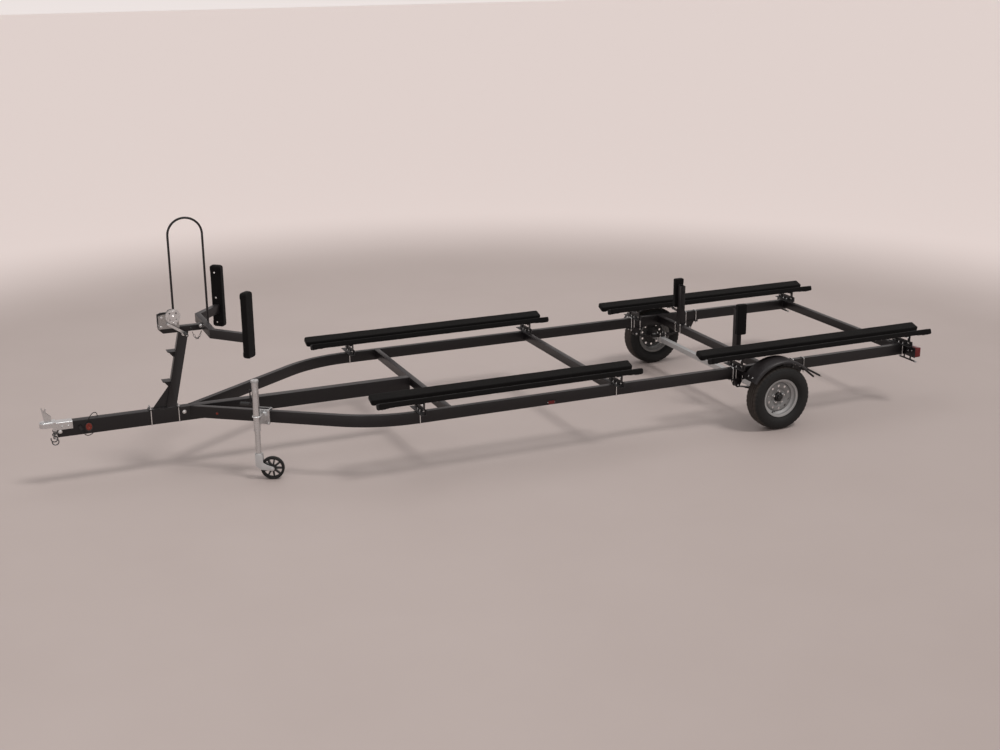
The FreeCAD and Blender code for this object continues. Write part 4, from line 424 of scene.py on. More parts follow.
pale_floor()
lamp("soft_sun", "SUN", (-3.0, 4.0, 9.0), (0, 0, 0), 1.15, color=(1.0, 0.96, 0.93), angle=math.radians(15))
lamp("overhead", "AREA", (0.5, -1.0, 6.5), (0, 0, 0), 90, shape="RECTANGLE", size=9.0, size_y=4.0)
lamp("camera_side", "AREA", (7.0, 9.0, 5.0), (0.5, 0, 0.6), 110, shape="RECTANGLE", size=4.0, size_y=3.0)
world = bpy.data.worlds.new("room")
world.use_nodes = True
room = world.node_tree
room.nodes.clear()
light = add_node(room, "ShaderNodeBackground", {}, {"Color": (0.96, 0.89, 0.86, 1), "Strength": 0.52})
rays = room.nodes.new("ShaderNodeLightPath").outputs
seen = rays["Is Camera Ray"]
for kind in ("Is Glossy Ray", "Is Transmission Ray"):
    seen = add_node(room, "ShaderNodeMath", {"operation": "MAXIMUM"}, {0: seen, 1: rays[kind]})
blend = add_node(room, "ShaderNodeMixShader", {}, {0: seen, 1: light, 2: walls(room)})
add_node(room, "ShaderNodeOutputWorld", {}, {"Surface": blend})
bpy.context.scene.world = world
print("lamps:", len(bpy.data.lights))

# %% [markdown]
# The light lead comes out of the oval marker on the tongue, goes once round the tube and ends in a
# flat plug. A cord keeps its real length, so its line is one NURBS curve through the same control
# points as the solid. A round bevel gives it its thickness.

# %% Light lead
LEAD_THICK = 0.007
LEAD_POINTS = [
    (3.755, 0.0451, 0.558), (3.755, 0.0451, 0.586), (3.736, 0.036, 0.610), (3.706, 0.004, 0.622),
    (3.682, -0.028, 0.612), (3.670, -0.052, 0.588), (3.666, -0.062, 0.552), (3.670, -0.060, 0.514),
    (3.680, -0.060, 0.478), (3.696, -0.050, 0.446), (3.722, -0.022, 0.432), (3.750, 0.010, 0.428),
    (3.778, 0.038, 0.438), (3.800, 0.054, 0.462), (3.814, 0.050, 0.494)]
lead_curve = tuned(bpy.data.curves.new("light_lead_line", "CURVE"), dimensions="3D", use_fill_caps=True,
                   bevel_depth=LEAD_THICK / 2, bevel_resolution=3)
lead_line = lead_curve.splines.new("NURBS")
lead_line.points.add(len(LEAD_POINTS) - 1)
for point, spot in zip(lead_line.points, LEAD_POINTS):
    point.co = (*spot, 1.0)
tuned(lead_line, order_u=3, use_endpoint_u=True, resolution_u=12)
lead_curve.materials.append(BLACK_RUBBER)
lead = add_object("light_lead_cord", lead_curve)
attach(lead, "chassis")
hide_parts("light_lead")
coated(nodes["lead_plug"].data, BLACK_RUBBER).shade_flat()
print("lead points:", len(LEAD_POINTS))

# %% [markdown]
# Steel tube has rounded corners, and they catch the light as thin lines. The solids have sharp
# corners. So each tube is copied, its triangles are merged into clean faces, and a Bevel
# modifier rounds the corners. The copy replaces the solid and keeps its place and size.

# %% Eased copies of the solids
EASED = (
    (0.005, 3, "side_rail_left side_rail_right tongue_tube bow_arms crossmember_front crossmember_mid "
               "crossmember_axle crossmember_rear"),
    (0.003, 3, "guide_post_left guide_post_right stand_post stand_arm"),
    (0.0015, 2, "bunk_brackets_left bunk_brackets_right axle_slider_left axle_slider_right leaf_spring_left "
                "leaf_spring_right axle_tube"))


@contextlib.contextmanager
def worked(mesh):
    """The mesh opened for editing, and written back at the end."""
    work = bmesh.new()
    work.from_mesh(mesh)
    yield work
    work.to_mesh(mesh)
    work.free()


def finish_piece(piece, material, body, slot, *replaced):
    """The piece with its material and its body; the slot is not used; None leaves the material as it is."""
    if material is not None:
        coated(piece.data, material)
    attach(piece, body)
    if replaced:
        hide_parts(*replaced)
    return piece


def eased(node, material, slot, width, segments):
    """The node with rounded corners, as a piece that replaces it."""
    mesh = nodes[node].data.copy()
    mesh.name = node + "_eased"
    with worked(mesh) as work:
        bmesh.ops.remove_doubles(work, verts=work.verts, dist=2e-5)
        bmesh.ops.dissolve_limit(work, angle_limit=math.radians(0.5), verts=work.verts, edges=work.edges,
                                 delimit={"NORMAL"})
    mesh.shade_smooth()
    piece = add_object(node + "_eased", mesh)
    tuned(piece.modifiers.new("rounded", "BEVEL"), width=width, segments=segments, limit_method="ANGLE",
          angle_limit=math.radians(28), use_clamp_overlap=True, harden_normals=True)
    finish_piece(piece, material, "chassis", slot, node)


for width, segments, names in EASED:
    for name in names.split():
        finish = (GALVANISED, "zinc") if name == "axle_tube" else (PAINT, "black_paint")
        eased(name, *finish, width, segments)

# %% [markdown]
# Round pieces are turned in code, as on a lathe: a closed outline of (distance along the axis,
# radius) is carried round a line. Real edges are never sharp, so the outline's corners become
# short arcs first.

# %% Lathe helpers


def filleted(outline, radius=0.002, steps=3):
    """A closed outline with its corners turned into short arcs; a third number is a corner's own radius."""
    made = []
    for index, corner in enumerate(outline):
        spot = Vector(corner[:2])
        before = Vector(outline[index - 1][:2]) - spot
        after = Vector(outline[(index + 1) % len(outline)][:2]) - spot
        wanted = corner[2] if len(corner) > 2 else radius
        opening = before.angle(after)
        if wanted <= 0 or opening > math.pi - 0.03:
            made.append(spot)
            continue
        reach = min(wanted / math.tan(opening / 2), 0.45 * before.length, 0.45 * after.length)
        first = spot + before.normalized() * reach
        last = spot + after.normalized() * reach
        for step in range(steps + 1):
            share = step / steps
            made.append(first * (1 - share) ** 2 + spot * (2 * share * (1 - share)) + last * share ** 2)
    return made


def sheet_outline(path, thick):
    """Closed outline of bent sheet: a path and its parallel on the right."""
    spots = [Vector(p) for p in path]
    ways = [(b - a).normalized() for a, b in zip(spots, spots[1:])]
    other = []
    for index, spot in enumerate(spots):
        before = ways[max(index - 1, 0)]
        after = ways[min(index, len(ways) - 1)]
        normals = Vector((before.y, -before.x)), Vector((after.y, -after.x))
        other.append(spot + (normals[0] + normals[1]) * (thick / (1 + normals[0].dot(normals[1]))))
    return spots + other[::-1]


def band(low, high, inner, outer):
    """Outline of a plain ring, or of a rod where inner is 0."""
    return [(low, inner), (low, outer), (high, outer), (high, inner)]


def cleaned(mesh, angle=32, doubles=1e-6):
    """The mesh merged, facing outward, and smooth up to an angle."""
    with worked(mesh) as work:
        bmesh.ops.remove_doubles(work, verts=work.verts, dist=doubles)
        bmesh.ops.recalc_face_normals(work, faces=work.faces)
    mesh.shade_smooth()
    mesh.set_sharp_from_angle(angle=math.radians(angle))
    return mesh


def ease_edges(work, offset, edges=None):
    bmesh.ops.bevel(work, geom=edges or list(work.edges), offset=offset, segments=2, affect="EDGES", profile=0.6)


def strip(first, second, size):
    """Faces between two rings of points that start at these indices."""
    return [(first + i, first + (i + 1) % size, second + (i + 1) % size, second + i) for i in range(size)]


def shell(name, rows, angle=32):
    """A mesh from rows of points; rows and points both close on themselves."""
    size = len(rows[0])
    faces = []
    for row in range(len(rows)):
        faces += strip(row * size, (row + 1) % len(rows) * size, size)
    return add_object(name, cleaned(new_mesh(name, [p for row in rows for p in row], faces=faces), angle))


def lathe(name, outline, centre, axis, segments):
    """An outline of (along, radius) turned about a line through centre."""
    along = Vector(axis).normalized()
    first = along.orthogonal().normalized() if abs(along.y) < 0.999 else Vector((1, 0, 0))
    second = along.cross(first)
    rows = []
    for step in range(segments):
        turn = 2 * math.pi * step / segments
        aside = first * math.cos(turn) + second * math.sin(turn)
        rows.append([Vector(centre) + along * out + aside * radius for out, radius in outline])
    return shell(name, rows)


def turned(name, outline, centre, axis, material, body, slot, *replaced, ease=0.002, steps=3, segments=64):
    """A finished piece from the lathe, its corners eased."""
    piece = lathe(name, filleted(outline, ease, steps), centre, axis, segments)
    return finish_piece(piece, material, body, slot, *replaced)


print("a filleted square has", len(filleted([(0, 0), (1, 0), (1, 1), (0, 1)])), "points")

# %% [markdown]
# The tyre is a trailer tyre: a round sidewall, five ribs with zigzag grooves between them, and
# notches in the shoulder. Its rows are one outline repeated round the axle. A point of a groove's
# edge moves sideways with the turn, and a point of the shoulder sinks in at each notch.

# %% Tyres
TREAD_PITCHES, PITCH_STEPS = 44, 8
ZIGZAG, NOTCH = 0.0022, 0.0042
GROOVES = [(0.0105, 0.3049), (0.0120, 0.2985), (0.0172, 0.2985), (0.0187, 0.3047),
           (0.0375, 0.3041), (0.0390, 0.2980), (0.0442, 0.2980), (0.0457, 0.3035)]
SHOULDER = [(0.0590, 0.3026), (0.0650, 0.3002), (0.0705, 0.2955), (0.0752, 0.2890), (0.0786, 0.2820)]
SIDEWALL = [
    (0.0812, 0.2778), (0.0822, 0.2770), (0.0838, 0.2742), (0.0848, 0.2738), (0.0872, 0.2680), (0.0896, 0.2590),
    (0.0912, 0.2490), (0.0918, 0.2390), (0.0912, 0.2290), (0.0890, 0.2195), (0.0850, 0.2110), (0.0842, 0.2108),
    (0.0790, 0.2035), (0.0782, 0.2034), (0.0725, 0.1970), (0.0672, 0.1925), (0.0652, 0.1905), (0.0638, 0.1878),
    (0.0618, 0.1862), (0.0590, 0.1850), (0.0545, 0.1760), (0.0530, 0.1675), (0.0480, 0.1675), (0.0480, 0.1760),
    (0.0600, 0.1930), (0.0750, 0.2090), (0.0825, 0.2300), (0.0825, 0.2500), (0.0750, 0.2740), (0.0600, 0.2880),
    (0.0250, 0.2925)]
TREAD_HALF = [(*spot, shift, sunk) for spots, shift, sunk in ((GROOVES, 1, 0), (SHOULDER, 0, 1), (SIDEWALL, 0, 0))
              for spot in spots]


def tyre_row(step, side):
    """The tyre's outline at one step round it."""
    phase = step % PITCH_STEPS
    zigzag = ZIGZAG * (abs(phase - PITCH_STEPS / 2) / (PITCH_STEPS / 4) - 1)
    notch = NOTCH if phase in (0, 1) else 0.0
    aside = spoke(2 * math.pi * step / (TREAD_PITCHES * PITCH_STEPS))
    return [at(0, side * TRACK + hand * out + shift * zigzag, WHEEL_UP) + aside * (radius - sunk * notch)
            for hand in (1, -1) for out, radius, shift, sunk in TREAD_HALF[::hand]]


for name, side in SIDES:
    rows = [tyre_row(step, side) for step in range(TREAD_PITCHES * PITCH_STEPS)]
    tyre = shell("tyre_tread_" + name, rows, angle=40)
    finish_piece(tyre, RUBBER, name + "_wheel", "tyre", "tyre_" + name)
    print(tyre.name, "faces", len(tyre.data.polygons))

# %% [markdown]
# The wheel is pressed steel in silver paint. The rim and the disc are bent sheet, so each is a
# bent path given a thickness and turned. Ten round holes go through the disc: one Boolean with
# ten plugs in a ring cuts them all.

# %% Wheels
RIM_THICK, DISC_THICK = 0.0034, 0.0036
RIM_PATH = [(-0.0640, 0.1800), (-0.0625, 0.1834), (-0.0580, 0.1834), (-0.0545, 0.1651), (-0.0365, 0.1651),
            (-0.0225, 0.1451), (0.0120, 0.1451), (0.0260, 0.1651), (0.0545, 0.1651), (0.0580, 0.1834),
            (0.0625, 0.1834), (0.0640, 0.1800)]
DISC_PATH = [(0.0080, 0.1432), (0.0165, 0.1350), (0.0205, 0.1250), (0.0205, 0.0975), (0.0165, 0.0860),
             (0.0080, 0.0740), (0.0080, 0.0440)]
HUB = [(-0.048, 0.0172), (-0.048, 0.031), (-0.006, 0.031), (-0.006, 0.069), (0.004, 0.069), (0.004, 0.0425),
       (0.0270, 0.0405), (0.0325, 0.0345), (0.0325, 0.0172)]
DUST_CAP = [(0.0320, 0.0), (0.0320, 0.0285), (0.0345, 0.0285), (0.0345, 0.0262), (0.0440, 0.0252, 0.004),
            (0.0490, 0.0170, 0.008), (0.0500, 0.0)]
VALVE = [(0, 0), (0, 0.0075), (0.004, 0.0060), (0.008, 0.0042), (0.026, 0.0036), (0.0265, 0.0046),
         (0.034, 0.0046), (0.034, 0)]
HOLES, HOLE_RING, HOLE_RADIUS, FIRST_HOLE = 10, 0.111, 0.0112, math.radians(15)
VALVE_TURN, VALVE_RING, VALVE_OUT, VALVE_LEAN = -1.1, 0.151, 0.030, 0.4


def settled(piece):
    """The piece's modifiers made part of its mesh."""
    graph = bpy.context.evaluated_depsgraph_get()
    mesh = bpy.data.meshes.new_from_object(piece.evaluated_get(graph), preserve_all_data_layers=True,
                                           depsgraph=graph)
    piece.modifiers.clear()
    piece.data = mesh
    return piece


def with_holes(piece, centre):
    """The piece with a ring of round holes along Y."""
    plugs = add_object("hole_plugs", new_mesh("hole_plugs", []))
    with worked(plugs.data) as work:
        for index in range(HOLES):
            spot = centre + spoke(FIRST_HOLE + 2 * math.pi * index / HOLES) * HOLE_RING
            place = Matrix.Translation(spot) @ Matrix.Rotation(math.pi / 2, 4, "X")
            bmesh.ops.create_cone(work, cap_ends=True, segments=28, radius1=HOLE_RADIUS, radius2=HOLE_RADIUS,
                                  depth=0.08, matrix=place)
    tuned(piece.modifiers.new("holes", "BOOLEAN"), object=plugs, operation="DIFFERENCE", solver="EXACT")
    settled(piece)
    bpy.data.objects.remove(plugs)
    cleaned(piece.data, 30)
    return piece


for name, side in SIDES:
    centre = Vector((AXLE_X, side * TRACK, WHEEL_UP))
    out, body = Vector((0, side, 0)), name + "_wheel"
    turned("rim_" + name, sheet_outline(RIM_PATH, RIM_THICK), centre, out, SILVER, body, "rim_silver",
           "wheel_" + name, ease=0.004, segments=128)
    disc = lathe("rim_disc_" + name, filleted(sheet_outline(DISC_PATH, DISC_THICK), 0.006, 4), centre, out, 128)
    finish_piece(with_holes(disc, centre), DISC_SILVER, body, "rim_silver")
    turned("hub_barrel_" + name, HUB, centre, out, PAINT, body, "black_paint", "hub_" + name, ease=0.0015)
    turned("dust_cap_" + name, DUST_CAP, centre, out, GLOSS_BLACK, body, "black_paint", ease=0.001)
    turned("valve_stem_" + name, VALVE, centre + spoke(VALVE_TURN) * VALVE_RING + out * VALVE_OUT,
           out - spoke(VALVE_TURN) * VALVE_LEAN, BLACK_RUBBER, body, "tyre", ease=0.0006, segments=20)

# %% [markdown]
# The long boards are timber wrapped in marine carpet. The wrap rounds every edge, runs a little
# uneven, and is turned over and stapled on the hidden side. There the turned layer makes a small
# step near each end and along the middle, and gathers in small folds. Each board is a stack of
# rounded sections, and each section's points move in or out by that layer and by a soft noise.

# %% Carpeted boards
PILE_RADIUS = 0.011
PILE_SUNK = 0.0012
FOLD_THICK, FOLD_END = 0.0034, 0.056
SEAM_THICK = 0.0016
GATHER_END, GATHER_THICK, GATHER_WAVE = 0.135, 0.0035, 0.0020
STAPLE_PITCH, STAPLE_ASIDE = 0.07, 0.008
BUNK_TILT, BUNK_LONG, BUNK_WIDE, BUNK_THICK = math.radians(18), 2.49, 0.108, 0.048
BUNK_UP, BUNK_ASIDE = 0.745, 0.147
GUIDE_X, GUIDE_Y, GUIDE_UP = 0.0416, 0.625, 0.760
GUIDE_WIDE, GUIDE_THICK, GUIDE_LONG = 0.101, 0.050, 0.300
BOW_TURN = math.radians(42)
BOW_WIDE, BOW_THICK, BOW_LONG, BOW_UP = 0.110, 0.058, 0.564, 1.102
STAPLES = []


def clipped(value):
    """The value kept between 0 and 1."""
    return min(max(value, 0), 1)


def board_section(half_across, half_down):
    """Points of a rounded rectangle as (across, down, way across, way down)."""
    radius = min(PILE_RADIUS, half_across * 0.98, half_down * 0.98)
    across, down = half_across - radius, half_down - radius
    points = []
    for a, d, start, flat, count in ((1, 1, 0, across, 8), (-1, 1, 90, down, 4), (-1, -1, 180, across, 8),
                                     (1, -1, 270, down, 4)):
        for step in range(5):
            turn = math.radians(start + 90 * step / 4)
            way = math.cos(turn), math.sin(turn)
            points.append((a * across + radius * way[0], d * down + radius * way[1], *way))
        last = points[-1]
        for step in range(1, count):
            slide = 2 * flat * step / count
            points.append((last[0] - slide * way[1], last[1] + slide * way[0], *way))
    return points


def board_stations(length, end_round):
    """Distances along a board: close together at its rounded ends."""
    ends = [end_round * (1 - math.cos(math.radians(a))) for a in (0, 18, 36, 54, 72, 90)]
    ends += [d for d in (0.030, 0.044, 0.052, 0.055, 0.060, 0.075) if d > end_round + 0.001]
    count = max(2, int((length - 0.18) / 0.018))
    middle = [0.09 + (length - 0.18) * i / count for i in range(count + 1)]
    return ends + middle + [length - d for d in reversed(ends)]


def carpeted(node, corner, along, across, down, end_round, seed):
    """One wrapped board, from a corner and its three edges; long boards show their staples."""
    corner, along, across, down = (Vector(v) for v in (corner, along, across, down))
    length = along.length
    middle = corner + across / 2 + down / 2
    ways = along.normalized(), across.normalized(), down.normalized()
    rows = []
    for reach in board_stations(length, end_round):
        near = min(reach, length - reach)
        cut = [r - math.sqrt(max(r * r - max(r - near, 0) ** 2, 0)) for r in (end_round, 0.72 * end_round)]
        fold = FOLD_THICK * clipped((FOLD_END - near) / 0.004)
        gather = clipped((GATHER_END - near) / 0.03) * clipped(near / 0.02) if length > 1 else 0
        row = []
        for a, d, na, nd in board_section(across.length / 2 - cut[0], down.length / 2 - cut[1]):
            spot = middle + ways[0] * reach + ways[1] * a + ways[2] * d
            rough = 0.0011 * noise.noise(spot * 9 + Vector((seed, 0, 0))) + 0.0006 * noise.noise(spot * 55)
            under = clipped(nd)
            layer = fold * under + SEAM_THICK * under * clipped(a / 0.003)
            layer += gather * under * (GATHER_THICK + GATHER_WAVE * math.sin(near * 260 + seed + 30 * a))
            row.append(spot + (ways[1] * na + ways[2] * nd) * (rough + layer - PILE_SUNK))
        rows.append(row)
    size = len(rows[0])
    points = [p for row in rows for p in row]
    faces = []
    for index in range(len(rows) - 1):
        faces += strip(index * size, (index + 1) * size, size)
    for row, start in ((rows[0], 0), (rows[-1], (len(rows) - 1) * size)):
        points.append(sum(row, Vector()) / size)
        faces += [(start + i, start + (i + 1) % size, len(points) - 1) for i in range(size)]
    piece = add_object(node + "_carpeted", cleaned(new_mesh(node, points, faces=faces), 60))
    finish_piece(piece, CARPET, "chassis", "carpet", node)
    seam = middle + ways[1] * STAPLE_ASIDE + ways[2] * (down.length / 2 + 0.0008)
    for index in range(1, int(length / STAPLE_PITCH) if length > 1 else 0):
        STAPLES.append((seam + ways[0] * (STAPLE_PITCH * index), ways[0]))


def bow_frame(side):
    """A bow board's outer end on its tube, the way back along the board's face, and the way inward."""
    back = Vector((-math.sin(BOW_TURN), side * math.cos(BOW_TURN), 0))
    inward = Vector((-math.cos(BOW_TURN), -side * math.sin(BOW_TURN), 0))
    return at(5.085, side * 0.300, 0) + back * 0.3453 + inward * 0.0254, back, inward


for place, rear in (("front", 1.402), ("rear", -1.802)):
    for (name, side), (edge, lean) in itertools.product(SIDES, (("outer", 1), ("inner", -1))):
        across = Vector((0, -side * lean * math.cos(BUNK_TILT), -math.sin(BUNK_TILT))) * BUNK_WIDE
        down = Vector((0, side * lean * math.sin(BUNK_TILT), -math.cos(BUNK_TILT))) * BUNK_THICK
        carpeted("bunk_%s_%s_%s" % (place, name, edge), at(rear, side * (RAIL_MID + lean * BUNK_ASIDE), BUNK_UP),
                 (BUNK_LONG, 0, 0), across, down, 0.018, lean + side)
for name, side in SIDES:
    carpeted("guide_board_" + name, at(GUIDE_X - GUIDE_WIDE / 2, side * GUIDE_Y, GUIDE_UP), up(GUIDE_LONG),
             (GUIDE_WIDE, 0, 0), (0, -side * GUIDE_THICK, 0), 0.012, side)
    end, back, inward = bow_frame(side)
    carpeted("bow_board_" + name, end + up(BOW_UP) - inward * (BOW_WIDE / 2) + back * BOW_THICK, up(BOW_LONG),
             inward * BOW_WIDE, back * -BOW_THICK, 0.026, side)

# %% [markdown]
# Bolts, nuts, U-bolts, welds and staples repeat all over the trailer, so Geometry Nodes make them.
# Growth wraps one node tree: its inputs get names, and each call of its node method adds a node.

# %% Geometry Nodes helper


class Growth:
    """One Geometry Nodes tree with named inputs; None stands for a material."""

    def __init__(self, name, **inputs):
        self.tree = bpy.data.node_groups.new(name, "GeometryNodeTree")
        face = self.tree.interface
        face.new_socket("Geometry", in_out="INPUT", socket_type="NodeSocketGeometry")
        face.new_socket("Geometry", in_out="OUTPUT", socket_type="NodeSocketGeometry")
        self.names = {}
        kinds = {float: "NodeSocketFloat", int: "NodeSocketInt", type(None): "NodeSocketMaterial"}
        for key, value in inputs.items():
            made = face.new_socket(key.replace("_", " "), in_out="INPUT", socket_type=kinds[type(value)])
            if value is not None:
                made.default_value = value
            self.names[key] = made.identifier
        self.start = self.tree.nodes.new("NodeGroupInput")
        self.end = self.tree.nodes.new("NodeGroupOutput")

    def given(self, key):
        return self.start.outputs[key.replace("_", " ")]

    def node(self, kind, settings=None, inputs=None, output=0):
        return add_node(self.tree, kind, settings, inputs, output)

    def maths(self, operation, first, second):
        return self.node("ShaderNodeMath", {"operation": operation}, {0: first, 1: second})

    def lifted(self, shape, height):
        way = self.node("ShaderNodeCombineXYZ", {}, {"Z": height})
        return self.node("GeometryNodeTransform", {}, {"Geometry": shape, "Translation": way})

    def prism(self, corners, radius, low, height):
        """A short prism that stands on the height low."""
        middle = self.maths("ADD", low, self.maths("MULTIPLY", height, 0.5))
        solid = self.node("GeometryNodeMeshCylinder", {}, {"Vertices": corners, "Radius": radius, "Depth": height})
        return self.lifted(solid, middle)

    def line(self):
        """The given mesh as a curve."""
        return self.node("GeometryNodeMeshToCurve", {}, {"Mesh": self.given("Geometry")})

    def tube(self, line, corners, radius):
        ring = self.node("GeometryNodeCurvePrimitiveCircle", {}, {"Resolution": corners, "Radius": radius})
        return self.node("GeometryNodeCurveToMesh", {}, {
            "Curve": line, "Profile Curve": ring, "Fill Caps": True})

    def on_points(self, shape, axis):
        """The shape on every given point, with one axis along the point's way."""
        way = self.node("GeometryNodeInputNamedAttribute", {"data_type": "FLOAT_VECTOR"}, {"Name": "way"})
        turn = self.node("FunctionNodeAlignRotationToVector", {"axis": axis}, {"Vector": way})
        return self.node("GeometryNodeInstanceOnPoints", {}, {
            "Points": self.given("Geometry"), "Instance": shape, "Rotation": turn})

    def finish(self, shape):
        real = self.node("GeometryNodeRealizeInstances", {}, {"Geometry": shape})
        done = self.node("GeometryNodeSetMaterial", {}, {"Geometry": real, "Material": self.given("Material")})
        self.tree.links.new(done, self.end.inputs[0])


def grown(name, mesh, growth, body, slot, angle=32, **values):
    """The tree's result on a mesh, as a plain piece."""
    piece = add_object(name, mesh)
    grow = piece.modifiers.new("grow", "NODES")
    grow.node_group = growth.tree
    for key, value in values.items():
        grow[growth.names[key]] = value
    settled(piece)
    cleaned(piece.data, angle, 1e-7)
    return finish_piece(piece, None, body, slot)


def marked_points(name, marks):
    """Loose points with a direction each, in the attribute way."""
    mesh = new_mesh(name, [spot for spot, _ in marks])
    ways = mesh.attributes.new("way", "FLOAT_VECTOR", "POINT")
    ways.data.foreach_set("vector", [value for _, way in marks for value in way])
    return mesh


def line_mesh(name, lines):
    """Each line of points as a chain of edges."""
    points, edges = [], []
    for line in lines:
        edges += [(len(points) + i, len(points) + i + 1) for i in range(len(line) - 1)]
        points += [Vector(p) for p in line]
    return new_mesh(name, points, edges)


print("tree helper ready")

# %% [markdown]
# One tree makes every bolt head and nut: a washer, a head with a chamfered top, and the end of the
# thread. Points carry the direction that each one looks in. A head with six corners is a nut, and
# one with many corners is the round head of a carriage bolt.

# %% Fastener tree
MEASURES = ("Corners", "Washer_Radius", "Washer_Height", "Head_Radius", "Head_Height", "Stud_Radius", "Stud_Out")
KINDS = {
    "hex": (6, 0.0115, 0.0020, 0.0098, 0.0065, 0.0045, 0.0040),
    "nut": (6, 0.0095, 0.0020, 0.0080, 0.0075, 0.0043, 0.0060),
    "low_nut": (6, 0.0125, 0.0015, 0.0098, 0.0055, 0.0045, 0.0012),
    "lug": (6, 0.0120, 0.0040, 0.0112, 0.0150, 0.0060, 0.0020),
    "big": (6, 0.0170, 0.0030, 0.0135, 0.0100, 0.0070, 0.0080),
    "round": (22, 0.0075, 0.0010, 0.0105, 0.0045, 0.0030, 0.0001),
    "button": (18, 0.0085, 0.0010, 0.0068, 0.0032, 0.0020, 0.0001),
    "knob": (20, 0.0098, 0.0100, 0.0096, 0.0060, 0.0030, 0.0001),
    "screw": (16, 0.0030, 0.0004, 0.0042, 0.0022, 0.0010, 0.0001),
}
CHAMFER = 0.28
BOLTS = {}


def measures(kind):
    return dict(zip(MEASURES, KINDS[kind]))


def fastener_tree():
    made = Growth("fastener", **measures("hex"), Material=None)
    corners, washer_radius, washer_top, head_radius, head_high, stud_radius, stud_out = map(made.given, MEASURES)
    straight = made.maths("MULTIPLY", head_high, 1 - CHAMFER)
    chamfer = made.node("GeometryNodeMeshCone", {}, {
        "Vertices": corners, "Radius Bottom": head_radius, "Radius Top": made.maths("MULTIPLY", head_radius, 0.8),
        "Depth": made.maths("MULTIPLY", head_high, CHAMFER)})
    whole = made.node("GeometryNodeJoinGeometry", {}, {"Geometry": [
        made.prism(18, washer_radius, 0.0, washer_top),
        made.prism(corners, head_radius, washer_top, straight),
        made.lifted(chamfer, made.maths("ADD", washer_top, straight)),
        made.prism(12, stud_radius, made.maths("ADD", washer_top, head_high), stud_out)]})
    made.finish(made.on_points(whole, "Z"))
    return made


def bolt(kind, spot, way, body="chassis", material=BRIGHT):
    BOLTS.setdefault((kind, body, material), []).append((Vector(spot), Vector(way).normalized()))


fastener = fastener_tree()
print("kinds of fastener:", len(KINDS))

# %% [markdown]
# Squared U-bolts hold the brackets, the sliders, the stand and the axle. Each is a chain of
# straight lines. The tree rounds its corners, gives it a round section, and the nuts are set by
# their own tree. A short plate carries the nuts where the bracket is narrower than the U-bolt.

# %% U-bolts
clamp = Growth("u_bolt", Bend_Radius=0.010, Wire_Radius=0.0044, Material=None)
clamp_bent = clamp.node("GeometryNodeFilletCurve", {"mode": "POLY"}, {
    "Curve": clamp.line(), "Count": 5, "Radius": clamp.given("Bend_Radius"), "Limit Radius": True})
clamp.finish(clamp.tube(clamp_bent, 10, clamp.given("Wire_Radius")))
UP, FORWARD, ACROSS = up(1), Vector((1, 0, 0)), Vector((0, 1, 0))
BRACKET_STATIONS, SLIDER_STATIONS = (3.470, 1.590, 0.330, -1.582), (0.384, 0.280, -0.280, -0.402)
POST_STATIONS, GUIDE_POST_FACES = (5.581, 5.345), (0.4870, 0.5862)
BRACKET_ASIDE, BRACKET_LOW = 0.102, 0.6120
RAIL_HALF = RAIL_WIDE / 2 + 0.0052
RAIL_MID_UP = (RAIL_TOP + RAIL_LOW) / 2
BRACKET_TOP = RAIL_TOP + 0.0063 - RAIL_MID_UP
# Half width, depth of the bend, reach of the legs and place of the nuts, all from the bar's middle.
BRACKET_U = (RAIL_HALF, 0.0560, BRACKET_TOP + 0.020, BRACKET_TOP)
SLIDER_U = (RAIL_HALF, 0.0560, 0.0850, 0.0635)
AXLE_U = (0.0308, 0.0305, 0.0780, 0.0600)
GUIDE_U = (0.0306, 0.0430, 0.0590, 0.0443)
POST_U = (0.0434, 0.0687, 0.0960, 0.0760)
CLAMPS = []
TIES = []


def u_bolt(middle, aside, open_way, half, deep, reach, nut_at):
    """A U round a bar: its bend is deep on one side of middle, its legs reach out on the other."""
    left, right = middle - aside * half, middle + aside * half
    CLAMPS.append([left + open_way * reach, left - open_way * deep, right - open_way * deep,
                   right + open_way * reach])
    for leg in (left, right):
        bolt("nut", leg + open_way * nut_at, open_way)


def tie_plate(x, y, half_long, half_wide, low, high):
    """A small flat plate, kept as two corners."""
    TIES.append((at(x - half_long, y - half_wide, low), at(x + half_long, y + half_wide, high)))


def plates(name, corners, material, slot, bevel=0.0012, *replaced):
    """Flat plates with eased edges, as one piece."""
    mesh = new_mesh(name, [])
    with worked(mesh) as work:
        for low, high in corners:
            place = Matrix.Translation((low + high) / 2) @ Matrix.Diagonal((*(high - low), 1.0))
            bmesh.ops.create_cube(work, size=1.0, matrix=place)
        ease_edges(work, bevel)
    return finish_piece(add_object(name, cleaned(mesh, 30)), material, "chassis", slot, *replaced)


